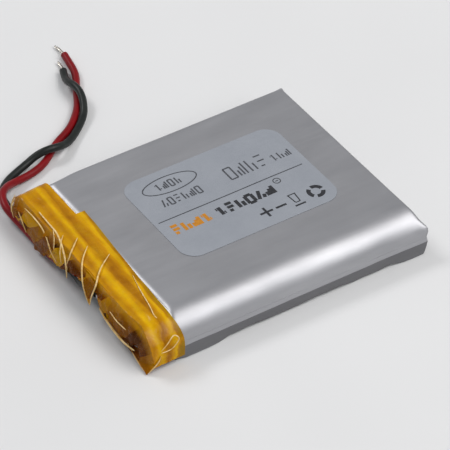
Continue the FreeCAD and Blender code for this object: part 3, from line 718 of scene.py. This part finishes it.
def lower_edge(x, side):
    """Height of the flange's cut edge: low at both ends, lifted and wavy between them."""
    lifted = smooth((x + 13.5) / 3.5) * smooth((23.0 - x) / 5.0)
    return 0.08 + 0.3 * lifted * (1.0 + 1.6 * wave(x, side * 9.0, 0.0, 3.6, 2.2))


def flange_mesh(side, first_row, last_row, points, faces):
    """Rows of the folded side flange between two stations of its section."""
    steps = 190
    section_rows = FLANGE_SECTION[first_row:last_row]
    first = len(points)
    for i in range(steps + 1):
        x = mix(CUP_START, CUP_END + 0.1, i / steps)
        seam_wave = 0.07 * wave(x, side * 3.0, 0.0, 3.6, 3.3)
        splay = 0.45 * smooth((-11.0 - x) / 4.0) * smooth((x + 21.4) / 2.0)
        splay += 0.4 * smooth((x - 19.0) / 5.0)
        for outward, level in section_rows:
            down = max(0.0, (FOLD_LEVEL - level) / FOLD_DROP)
            z = mix(level + seam_wave, lower_edge(x, side), down)
            flutter = 0.13 * wave(x, side * 5.0, level, 4.0, 6.1) * down
            y = UPPER_HALF + outward + flutter + splay * down + end_flare(x) + side_swell(x, side)
            slant = 0.9 * down * smooth((x - 14.0) / 11.0)
            points.append((x - slant, side * y, z))
    faces.extend(grid_faces(steps + 1, len(section_rows), first, flip=side > 0))


def ridge_mesh(*shape):
    """Rounded fold across the far end, where the one sheet turns back on itself."""
    steps = 90
    centres = []
    radii = []
    for i in range(steps + 1):
        y = mix(0.2 - UPPER_HALF, UPPER_HALF - 0.2, i / steps)
        z = SEAM - 0.45 + 0.12 * wave(0.0, y, 0.0, 6.0, 9.0)
        centres.append(Vector((CUP_END + 0.04 + 0.06 * wave(3.0, y, 0.0, 3.0), y, z)))
        radii.append(0.2 + 0.03 * wave(1.0, y, 0.0, 2.0, 1.0))
    tube_rings(centres, radii, 12, *shape)


def terrace_mesh(low, high, points, faces):
    """Sealed terrace at the terminal end, pressed with a fine bar pattern."""
    columns, rows = 26, 160
    for top in (True, False):
        first = len(points)
        for i in range(columns + 1):
            x = mix(CUP_START - TERRACE, CUP_START + 0.4, i / columns)
            for j in range(rows + 1):
                y = mix(-TERRACE_HALF, TERRACE_HALF, j / rows)
                pressed = 0.018 * math.sin((x + y) * 8.0) * math.sin((x - y) * 8.0)
                sag = 0.05 * wave(x, y, 0.0, 4.0, 8.0)
                points.append((x, y, (high if top else low) + (pressed if top else 0.0) + sag))
        faces.extend(grid_faces(columns + 1, rows + 1, first, flip=not top))
    size = (columns + 1) * (rows + 1)
    first = len(points) - 2 * size
    rim = [i * (rows + 1) for i in range(columns + 1)]
    rim += [columns * (rows + 1) + j for j in range(1, rows + 1)]
    rim += [i * (rows + 1) + rows for i in reversed(range(columns))]
    rim += list(reversed(range(1, rows)))
    for a, b in zip(rim, rim[1:] + rim[:1]):
        faces.append((first + a, first + b, first + size + b, first + size + a))


def make_pouch():
    skin = laminate_material("laminate_upper")
    shape = cup_mesh(UPPER_CUP, True)
    for side in (1.0, -1.0):
        flange_mesh(side, 0, FLANGE_FOLD + 1, *shape)
    shell = mesh_piece("pouch_upper_laminate", *shape, skin)
    place(thicken(shell, LAMINATE), "laminate", "pouch_upper_shell")

    shape = [], []
    for side in (1.0, -1.0):
        flange_mesh(side, FLANGE_FOLD, len(FLANGE_SECTION), *shape)
    # The folded flange strip takes the laminate at 0.48 of its tone: painted shade, darker than
    # the same laminate on the cup.
    painted_shade_laminate = laminate_material("laminate_seal_painted_shade", 0.48)
    strips = mesh_piece("pouch_sealed_flanges", *shape, painted_shade_laminate)
    place(thicken(strips, SEALED_LAMINATE), "laminate", "pouch_upper_shell")

    shape = [], []
    ridge_mesh(*shape)
    terrace_mesh(SEAM, SEAM + 0.2, *shape)
    seals = mesh_piece("pouch_upper_seals", *shape, skin)
    place(seals, "laminate", "pouch_upper_shell")

    under = laminate_material("laminate_lower")
    shape = cup_mesh(LOWER_CUP, False)
    shell = mesh_piece("pouch_lower_laminate", *shape, under)
    place(thicken(shell, LAMINATE), "laminate", "pouch_lower_shell")

    shape = [], []
    terrace_mesh(SEAM - 0.2, SEAM - 0.01, *shape)
    seal = mesh_piece("pouch_lower_seal", *shape, under)
    place(seal, "laminate", "pouch_lower_shell")


# ---- label and print

LABEL_ROUND = 3.0
INK_HEIGHT = 0.016


def label_level(x, y):
    """Top of the label, which follows the pouch."""
    return TOP + top_relief(x, y) + 0.07


def make_label():
    columns, rows = 110, 84
    middle = (label_low + label_high) / 2.0
    half_x = (label_high.x - label_low.x) / 2.0
    half_y = (label_high.y - label_low.y) / 2.0
    points = []
    for i in range(columns + 1):
        u = 2.0 * i / columns - 1.0
        for j in range(rows + 1):
            v = 2.0 * j / rows - 1.0
            x, y = round_off(u * half_x, v * half_y, half_x, half_y, LABEL_ROUND)
            points.append((middle.x + x, middle.y + y, label_level(middle.x + x, middle.y + y)))
    label = mesh_piece("label_film", points, grid_faces(columns + 1, rows + 1), label_material())
    place(thicken(label, LABEL_FILM), "label", "label")


def round_off(x, y, half_x, half_y, radius):
    """Moves a point of a rectangle into the same rectangle with rounded corners."""
    over_x = abs(x) - (half_x - radius)
    over_y = abs(y) - (half_y - radius)
    if over_x <= 0.0 or over_y <= 0.0:
        return x, y
    reach = max(over_x, over_y)
    length = math.hypot(over_x, over_y)
    x = math.copysign(half_x - radius + over_x * reach / length, x)
    y = math.copysign(half_y - radius + over_y * reach / length, y)
    return x, y


def ink_ribbon(path, width, points, faces, closed=False):
    """Raised line of ink along a plan path, following the label."""
    count = len(path)
    first = len(points)
    for i, (x, y) in enumerate(path):
        before = path[(i - 1) % count] if closed else path[max(i - 1, 0)]
        after = path[(i + 1) % count] if closed else path[min(i + 1, count - 1)]
        dx, dy = after[0] - before[0], after[1] - before[1]
        length = math.hypot(dx, dy)
        nx, ny = -dy / length, dx / length
        for shift, rise in ((-1.0, -0.01), (-1.0, INK_HEIGHT), (1.0, INK_HEIGHT), (1.0, -0.01)):
            px, py = x + nx * shift * width / 2.0, y + ny * shift * width / 2.0
            points.append((px, py, label_level(px, py) + rise))
    last = count if closed else count - 1
    for i in range(last):
        a = first + 4 * i
        b = first + 4 * ((i + 1) % count)
        for k in range(4):
            n = (k + 1) % 4
            faces.append((a + k, b + k, b + n, a + n))
    if not closed:
        faces.append((first + 3, first + 2, first + 1, first))
        end = first + 4 * (count - 1)
        faces.append((end, end + 1, end + 2, end + 3))


def segment(start, finish, steps):
    return [(mix(start[0], finish[0], t / steps), mix(start[1], finish[1], t / steps))
            for t in range(steps + 1)]


def arc(centre, radius_x, radius_y, start, finish, steps=24):
    return [(centre[0] + radius_x * math.cos(math.radians(mix(start, finish, t / steps))),
             centre[1] + radius_y * math.sin(math.radians(mix(start, finish, t / steps))))
            for t in range(steps + 1)]


# Each generic mark is a set of strokes in a unit cell, width first, height second.
MARKS = {
    "pair": [((0.2, 0.0), (0.2, 1.0)), ((0.8, 0.0), (0.8, 0.6))],
    "frame": [((0.1, 0.0), (0.9, 0.0)), ((0.9, 0.0), (0.9, 1.0)), ((0.9, 1.0), (0.1, 1.0)),
              ((0.1, 1.0), (0.1, 0.0))],
    "lean": [((0.1, 0.0), (0.6, 1.0)), ((0.75, 0.0), (0.95, 0.4))],
    "split": [((0.1, 1.0), (0.9, 1.0)), ((0.1, 0.55), (0.9, 0.55)), ((0.1, 0.1), (0.55, 0.1))],
    "rise": [((0.1, 0.0), (0.1, 0.5)), ((0.5, 0.0), (0.5, 0.75)), ((0.9, 0.0), (0.9, 1.0))],
    "post": [((0.5, 0.0), (0.5, 1.0)), ((0.05, 0.8), (0.22, 0.8)), ((0.78, 0.2), (0.95, 0.2))],
}


# Rows of marks: the marks, lower left corner, width of one, gap, height and stroke.
UPPER_ROWS = [
    ("post rise frame pair", (-6.2, 8.1), 0.85, 0.38, 1.65, 0.26),
    ("lean frame split pair rise frame", (-7.5, 4.15), 0.92, 0.38, 1.75, 0.26),
    ("frame rise pair split", (5.2, 4.15), 1.55, 0.42, 2.95, 0.28),
    ("post pair rise", (13.6, 4.4), 0.95, 0.35, 1.6, 0.24)]
DARK_ROW = ("post split pair frame lean rise", (-1.15, -2.4), 1.45, 0.42, 1.95, 0.62)
ORANGE_ROW = ("split pair rise post", (-9.55, -2.45), 1.45, 0.42, 1.95, 0.62)

# Strokes as start, finish, steps and width: a plus, a minus, and a tapered cup over a bar.
LOWER_STROKES = [
    ((4.35, -5.65), (6.75, -5.65), 8, 0.42), ((5.55, -6.85), (5.55, -4.45), 8, 0.42),
    ((7.35, -5.65), (9.35, -5.65), 8, 0.42), ((10.45, -4.15), (12.0, -4.15), 4, 0.2),
    ((10.6, -4.15), (10.8, -6.2), 4, 0.2), ((11.85, -4.15), (11.65, -6.2), 4, 0.2),
    ((10.8, -6.2), (11.65, -6.2), 4, 0.2), ((10.25, -6.95), (12.25, -6.95), 8, 0.34)]


def mark_row(row, *shape):
    """Row of plain marks, none of them a character."""
    names, start, cell, gap, height, stroke = row
    for index, name in enumerate(names.split()):
        left = start[0] + index * (cell + gap)
        for (u0, v0), (u1, v1) in MARKS[name]:
            a = (left + u0 * cell, start[1] + v0 * height)
            b = (left + u1 * cell, start[1] + v1 * height)
            ink_ribbon(segment(a, b, 4), stroke, *shape)


def ink_piece(name, material, draw):
    shape = [], []
    draw(*shape)
    piece = mesh_piece(name, *shape, material)
    piece.data.polygons.foreach_set("use_smooth", [False] * len(piece.data.polygons))
    place(piece, "label")


def draw_ring(centre, radii, steps, width, *shape):
    path = arc(centre, *radii, 0.0, 360.0, steps)[:-1]
    ink_ribbon(path, width, *shape, closed=True)


def draw_upper_print(*shape):
    """Oval with a row in it, three rows under it and a long rule."""
    draw_ring((-3.66, 8.86), (5.0, 1.95), 71, 0.2, *shape)
    for row in UPPER_ROWS:
        mark_row(row, *shape)
    ink_ribbon(segment((-10.45, 1.32), (17.1, 1.36), 60), 0.2, *shape)


def draw_bold_dark(*shape):
    """Bold row, then a small ring with a dash in it."""
    mark_row(DARK_ROW, *shape)
    draw_ring((11.23, 0.0), (0.62, 0.62), 29, 0.15, *shape)
    ink_ribbon(segment((10.95, 0.0), (11.51, 0.0), 2), 0.15, *shape)


def draw_bold_orange(*shape):
    mark_row(ORANGE_ROW, *shape)


def draw_lower_marks(*shape):
    """Plus, minus, an open tapered cup over a bar, and a ring broken in three."""
    for start, finish, steps, width in LOWER_STROKES:
        ink_ribbon(segment(start, finish, steps), width, *shape)
    for start in (10.0, 130.0, 250.0):
        ink_ribbon(arc((15.08, -5.62), 1.2, 1.2, start, start + 92.0), 0.72, *shape)


def make_print():
    black = ink_material("ink_black", (0.01, 0.011, 0.014), (0.028, 0.028, 0.034))
    grey = ink_material("ink_grey", (0.04, 0.042, 0.05), (0.075, 0.078, 0.09))
    orange = ink_material("ink_orange", (0.46, 0.17, 0.006), (0.56, 0.23, 0.01))
    ink_piece("print_upper_rows", grey, draw_upper_print)
    ink_piece("print_dark_bars", black, draw_bold_dark)
    ink_piece("print_orange_bars", orange, draw_bold_orange)
    ink_piece("print_lower_marks", black, draw_lower_marks)


# ---- polyimide tapes

TAPE_HALF = 21.16
TAPE_TOP = TOP + 0.07
NEAR_ROUND = 4.3
FAR_ROUND = 2.3
CREASE_X = -25.6
CREASE_DROP = 0.45
END_X = -26.48

# Lengths along the cell's rounded section, from the near foot over the top to the far foot.
NEAR_WALL = TAPE_TOP - NEAR_ROUND
NEAR_TURN = NEAR_WALL + NEAR_ROUND * math.pi / 2.0
FLAT_END = NEAR_TURN + 2.0 * TAPE_HALF - NEAR_ROUND - FAR_ROUND
FAR_TURN = FLAT_END + FAR_ROUND * math.pi / 2.0
SECTION_LENGTH = FAR_TURN + TAPE_TOP - FAR_ROUND


def section(run):
    """Point and outward normal on the section, run millimetres from the near foot."""
    if run < NEAR_WALL:
        return (-TAPE_HALF, run), (-1.0, 0.0)
    if run < NEAR_TURN:
        angle = (run - NEAR_WALL) / NEAR_ROUND
        normal = (-math.cos(angle), math.sin(angle))
        return (-TAPE_HALF + NEAR_ROUND + NEAR_ROUND * normal[0],
                NEAR_WALL + NEAR_ROUND * normal[1]), normal
    if run < FLAT_END:
        return (-TAPE_HALF + NEAR_ROUND + run - NEAR_TURN, TAPE_TOP), (0.0, 1.0)
    if run < FAR_TURN:
        angle = (run - FLAT_END) / FAR_ROUND
        normal = (math.sin(angle), math.cos(angle))
        return (TAPE_HALF - FAR_ROUND + FAR_ROUND * normal[0],
                TAPE_TOP - FAR_ROUND + FAR_ROUND * normal[1]), normal
    return (TAPE_HALF, TAPE_TOP - FAR_ROUND - run + FAR_TURN), (1.0, 0.0)


def run_at(y):
    """Run of the top point above y."""
    return NEAR_TURN + y + TAPE_HALF - NEAR_ROUND


def along_stations(stations, value):
    """Straight-line reading between (place, value) stations."""
    if value <= stations[0][0]:
        return stations[0][1]
    for (a, first), (b, second) in zip(stations, stations[1:]):
        if value <= b:
            return mix(first, second, (value - a) / (b - a))
    return stations[-1][1]


def crumple(a, b, seed, size_a, size_b):
    """Sharp creases between soft facets, from 0 to about 1."""
    coarse = abs(noise.noise(Vector((a / size_a, b / size_b, seed))))
    fine = abs(noise.noise(Vector((a / size_a * 2.3 + 5.0, b / size_b * 2.6, seed + 9.0))))
    return min(1.0, 1.5 * coarse + 0.6 * fine)


def crease_at(run, seed):
    """x of the wavy crease where a tape turns down over the end face."""
    return CREASE_X + 0.3 * wave(run, seed, 0.0, 3.2, 8.8)


def tape_point(run, along, lift, seed):
    """Point of a tape: along is negative on the cell and positive down over the end face."""
    (y, z), (ny, nz) = section(run)
    crease = crease_at(run, seed)
    if along <= 0.0:
        x = crease - along
        hollow = smooth((CUP_START + 0.4 - x) / (CUP_START + 0.4 - CREASE_X))
        near_crease = smooth((CUP_START + 0.2 - x) / 3.0)
        smooth_folds = crumple(x, run, seed, 1.6, 9.0) * 0.05
        rough = smooth_folds + crumple(x, run, seed + 1.0, 2.4, 3.4) * 0.12 * near_crease
        out = lift + rough - CREASE_DROP * hollow * abs(nz)
        return x, y + ny * out, z + nz * out
    bend = smooth(along / mix(1.6, 3.0, 0.5 + wave(run, seed, 0.0, 2.5, 4.4)))
    rough = crumple(along, run, seed + 4.0, 2.6, 2.2)
    out = lift + 0.16 - CREASE_DROP * abs(nz) - along * mix(0.92, 1.0, bend)
    x = mix(crease, END_X - lift * 0.5, bend) - 0.24 * rough * smooth(along / 1.2)
    return x, y + ny * out, max(0.1 + lift, z + nz * out)


# Height of the ragged lower edge of the film on the end face, by y.
LOW_EDGE = [(-21.2, 0.5), (-17.3, 0.7), (-13.0, 1.3), (-10.0, 1.9), (-8.2, 2.3), (-7.0, 3.1),
            (-6.0, 4.9), (-3.0, 5.0), (0.0, 4.6), (2.2, 3.7), (4.0, 2.9), (6.0, 2.3),
            (8.0, 2.7), (9.5, 2.2), (10.6, 0.9), (13.2, 0.8), (14.2, 2.4), (17.5, 3.0),
            (21.2, 3.2)]


def end_reach(run, seed):
    """How far the tape comes down over the end face at this place of the section."""
    (y, _), (_, nz) = section(run)
    low = along_stations(LOW_EDGE, y) + 0.45 * wave(run, seed, 0.0, 1.3, 1.7)
    return mix(2.8, TAPE_TOP - CREASE_DROP - low, smooth((abs(nz) - 0.55) / 0.45))


def tape_mesh(first_run, last_run, edge, lift, seed):
    """Tape between two runs of the section, from its edge on the cell down over the end."""
    columns, body_rows, end_rows = 330, 46, 40
    rows = body_rows + end_rows
    points = []
    for i in range(columns + 1):
        run = mix(first_run, last_run, i / columns)
        start = crease_at(run, seed) - edge(run) - 0.07 * wave(run, seed, 0.0, 2.6, 0.7)
        reach = max(0.8, end_reach(run, seed))
        for j in range(rows + 1):
            if j <= body_rows:
                along = mix(start, 0.0, j / body_rows)
            else:
                along = mix(0.0, reach, (j - body_rows) / end_rows)
            points.append(tape_point(run, along, lift, seed))
    return points, grid_faces(columns + 1, rows + 1)


# Where each tape begins and ends round the section, and how far the outer one stands off.
INNER_START_Y = -12.0
INNER_END_CUT = 3.3
OUTER_START_RUN = 1.0
OUTER_END_Y = 10.4
OUTER_LIFT = 0.09

# Edge of the outer tape on the cell, as x by y.
OUTER_EDGE = [(-18.7, -20.5), (-14.0, -20.3), (-7.0, -19.95), (0.0, -19.45), (5.0, -19.0),
              (OUTER_END_Y, -18.75)]


def outer_edge(run):
    """x of the outer tape's slanted edge, which turns back down the near side."""
    y = section(run)[0][0]
    return mix(along_stations(OUTER_EDGE, y), -19.95, smooth((NEAR_TURN - run) / 5.5))


def inner_edge(run):
    """x of the inner tape's edge, nearly straight across the cell."""
    y = section(run)[0][0]
    return -20.3 + 0.1 * smooth((y - 10.0) / 8.0)


def fold_bead(path, radius, *shape):
    """Tight fold of the film along a given line, thin at both ends."""
    centres = []
    steps = 9
    line = [Vector(p) for p in path]
    for k in range(len(line) - 1):
        before = line[max(k - 1, 0)]
        after = line[min(k + 2, len(line) - 1)]
        for s in range(steps):
            t = s / steps
            a, b = line[k], line[k + 1]
            bend = (b - before) * 0.5, (after - a) * 0.5
            h = (2 * t ** 3 - 3 * t * t + 1, t ** 3 - 2 * t * t + t, -2 * t ** 3 + 3 * t * t,
                 t ** 3 - t * t)
            centres.append(a * h[0] + bend[0] * h[1] + b * h[2] + bend[1] * h[3])
    centres.append(line[-1])
    shares = [i / (len(centres) - 1) for i in range(len(centres))]
    radii = [radius * (0.35 + 0.65 * math.sin(math.pi * share) ** 0.6) for share in shares]
    tube_rings(centres, radii, 8, *shape)


def flap(corner_lines, lift_way, bow, points, faces):
    """Loose film between two edge lines, bowed outwards."""
    left, right = corner_lines
    steps, across = 24, 12
    first = len(points)

    def along(line, t):
        place_on = t * (len(line) - 1)
        k = min(int(place_on), len(line) - 2)
        return Vector(line[k]).lerp(Vector(line[k + 1]), place_on - k)

    way = Vector(lift_way)
    for i in range(steps + 1):
        t = i / steps
        a, b = along(left, t), along(right, t)
        for j in range(across + 1):
            s = j / across
            point = a.lerp(b, s) + way * (bow * math.sin(math.pi * s) * (1.0 - 0.5 * t))
            point += way * 0.12 * wave(point.x, point.y, point.z, 1.2, 2.0)
            points.append(tuple(point))
    faces.extend(grid_faces(steps + 1, across + 1, first))


# Listed lines of the folds and of the edges of the loose flaps.
LONG_FOLD = [(-24.9, 14.3, 6.98), (-25.05, 11.3, 6.95), (-25.15, 8.6, 6.9), (-25.7, 6.2, 6.75),
             (-26.5, 3.6, 5.6), (-26.9, 2.6, 3.8), (-26.9, 2.6, 2.5)]
LOW_FOLD = [(-25.9, 17.2, 6.2), (-25.95, 14.0, 6.35), (-26.1, 11.0, 6.0), (-26.8, 7.4, 4.6)]
CROSS_FOLD = [(-23.2, 5.2, 7.25), (-24.6, 4.0, 7.1), (-25.6, 3.2, 6.8), (-26.6, 2.8, 4.9),
              (-26.9, 2.6, 2.5)]
HANGING_LEFT = [(-22.9, 2.6, 7.3), (-24.7, 0.9, 7.15), (-25.9, -0.6, 6.7), (-26.8, -2.2, 5.2),
                (-27.1, -3.6, 3.5), (-27.1, -4.7, 2.3)]
HANGING_RIGHT = [(-21.0, -0.95, 7.35), (-23.6, -2.8, 7.3), (-25.1, -4.2, 7.1),
                 (-26.2, -5.3, 6.5), (-27.0, -5.2, 4.4), (-27.1, -4.7, 2.3)]
EDGE_FOLD = [(-20.6, -7.2, 7.3), (-21.4, -10.5, 7.3), (-22.2, -14.7, 7.28), (-22.7, -17.2, 7.1),
             (-22.0, -18.6, 6.7)]
GOLD_FOLD = [(-26.7, -10.2, 4.9), (-26.85, -12.5, 4.7), (-26.85, -15.2, 4.9)]
RIM_FOLD = [(-26.8, -7.2, 3.4), (-26.95, -9.6, 2.6), (-26.95, -12.6, 2.0), (-26.9, -15.0, 1.9),
            (-26.85, -17.6, 2.4)]
NEAR_LOOP = [(-24.4, -21.6, 3.7), (-22.6, -21.6, 3.7), (-21.4, -21.6, 4.7), (-21.2, -21.5, 5.4),
             (-22.0, -21.3, 6.0), (-23.2, -21.5, 5.0), (-24.4, -21.6, 4.1)]
FOOT_LEFT = [(-26.6, -15.2, 2.2), (-26.8, -17.4, 1.3), (-26.9, -19.4, 0.7), (-26.8, -21.1, 0.12)]
FOOT_RIGHT = [(-24.4, -21.5, 3.0), (-25.0, -21.6, 2.1), (-26.0, -21.5, 1.1), (-26.8, -21.1, 0.12)]
TANGLE = [[(-25.3, 9.2, 7.0), (-25.95, 7.8, 6.55), (-26.75, 6.7, 5.4)],
          [(-24.7, 7.1, 7.2), (-25.6, 6.2, 6.9), (-26.6, 5.0, 5.9), (-26.9, 4.2, 4.4)],
          [(-26.3, 9.6, 5.7), (-26.9, 7.6, 4.7), (-27.0, 5.4, 3.6)],
          [(-25.9, 20.4, 6.0), (-26.6, 20.2, 4.6), (-26.8, 19.4, 3.0)],
          [(-25.2, 21.4, 5.7), (-25.9, 21.5, 4.2), (-26.3, 21.0, 2.9)],
          [(-26.5, 18.2, 5.0), (-26.85, 16.4, 4.2), (-26.9, 15.2, 2.9)]]
TANGLE_RADIUS = 0.09
VEE_LEFT = [(-26.3, 4.6, 6.0), (-26.8, 3.2, 4.4), (-26.9, 2.6, 2.5)]
VEE_RIGHT = [(-26.1, 3.0, 6.3), (-26.6, 2.8, 4.9), (-26.9, 2.6, 2.5)]


# Folds, coloured cream as painted highlights, and their radii.
FOLD_RADII = [
    (LONG_FOLD, 0.17), (LOW_FOLD, 0.13), (CROSS_FOLD, 0.14), (HANGING_LEFT, 0.15),
    (HANGING_RIGHT, 0.15), (EDGE_FOLD, 0.11), (GOLD_FOLD, 0.11), (RIM_FOLD, 0.2),
    (NEAR_LOOP, 0.1), (FOOT_LEFT, 0.1), (FOOT_RIGHT, 0.1)]


def make_tapes():
    inner_film = tape_material("polyimide_inner")
    first, last = run_at(INNER_START_Y), SECTION_LENGTH - INNER_END_CUT
    shape = tape_mesh(first, last, inner_edge, 0.0, 2.0)
    inner = mesh_piece("inner_tape_film", *shape, inner_film)
    place(thicken(inner, TAPE_FILM, 1.0), "polyimide", "inner_polyimide_tape")

    outer_film = tape_material("polyimide_outer")
    last = run_at(OUTER_END_Y)
    shape = tape_mesh(OUTER_START_RUN, last, outer_edge, OUTER_LIFT, 6.0)
    outer = mesh_piece("outer_tape_film", *shape, outer_film)
    place(thicken(outer, TAPE_FILM, 1.0), "polyimide", "outer_polyimide_tape")

    shape = [], []
    flap((HANGING_LEFT[2:], HANGING_RIGHT[3:]), (1.0, 0.0, 0.0), 0.1, *shape)
    flap((VEE_LEFT, VEE_RIGHT), (1.0, 0.0, 0.0), 0.1, *shape)
    flap((FOOT_LEFT, FOOT_RIGHT), (-0.8, -0.5, 0.2), 0.35, *shape)
    loose = mesh_piece("loose_tape_flaps", *shape, outer_film)
    place(thicken(loose, LOOSE_FILM, 0.0), "polyimide", "outer_polyimide_tape")

    shape = [], []
    for line, radius in FOLD_RADII:
        fold_bead(line, radius, *shape)
    for line in TANGLE:
        fold_bead(line, TANGLE_RADIUS, *shape)
    folds = mesh_piece("tape_folds", *shape, fold_material())
    place(folds, "polyimide", "outer_polyimide_tape")


# ---- studio

def floor_material():
    kit = Nodes("pale_floor")
    kit.colour(kit.tones(kit.noise(60.0, detail=2.0), (0.72, 0.72, 0.725), (0.75, 0.75, 0.755)))
    kit.roughness(kit.span(kit.noise(20.0), 0.6, 0.7))
    return kit.material


def make_floor():
    size = 1500.0
    points = [(-size, -size, 0.0), (size, -size, 0.0), (size, size, 0.0), (-size, size, 0.0)]
    floor = mesh_piece("floor", points, [(0, 1, 2, 3)], floor_material())


def area_light(name, way, distance, size, power, colour=(1.0, 1.0, 1.0)):
    """Soft rectangular light, aimed at the cell from the given direction."""
    data = bpy.data.lights.new(name, "AREA")
    data.shape = "RECTANGLE"
    data.size, data.size_y = size
    data.energy = power
    data.color = colour
    light = bpy.data.objects.new(name, data)
    way = Vector(way).normalized()
    light.location = way * distance
    light.rotation_mode = "QUATERNION"
    light.rotation_quaternion = way.to_track_quat("Z", "Y")
    scene.collection.objects.link(light)


def make_studio():
    make_floor()
    area_light("key_light", (0.415, -0.34, 0.85), 0.9, (0.6, 0.45), 3.45, (1.0, 0.985, 0.96))
    area_light("side_light", (0.4, -0.66, 0.62), 1.0, (0.75, 0.45), 2.6)
    area_light("rim_light", (-0.25, 0.66, 0.7), 0.9, (0.35, 0.2), 2.5)
    world = bpy.data.worlds.new("studio")
    world.use_nodes = True
    background = world.node_tree.nodes["Background"]
    background.inputs["Color"].default_value = (0.95, 0.97, 1.0, 1.0)
    background.inputs["Strength"].default_value = 0.38
    scene.world = world
    scene.view_settings.view_transform = "Standard"


# ---- everything

make_camera()
make_leads()
make_pouch()
make_label()
make_print()
make_tapes()
finish_cad_nodes()
make_studio()
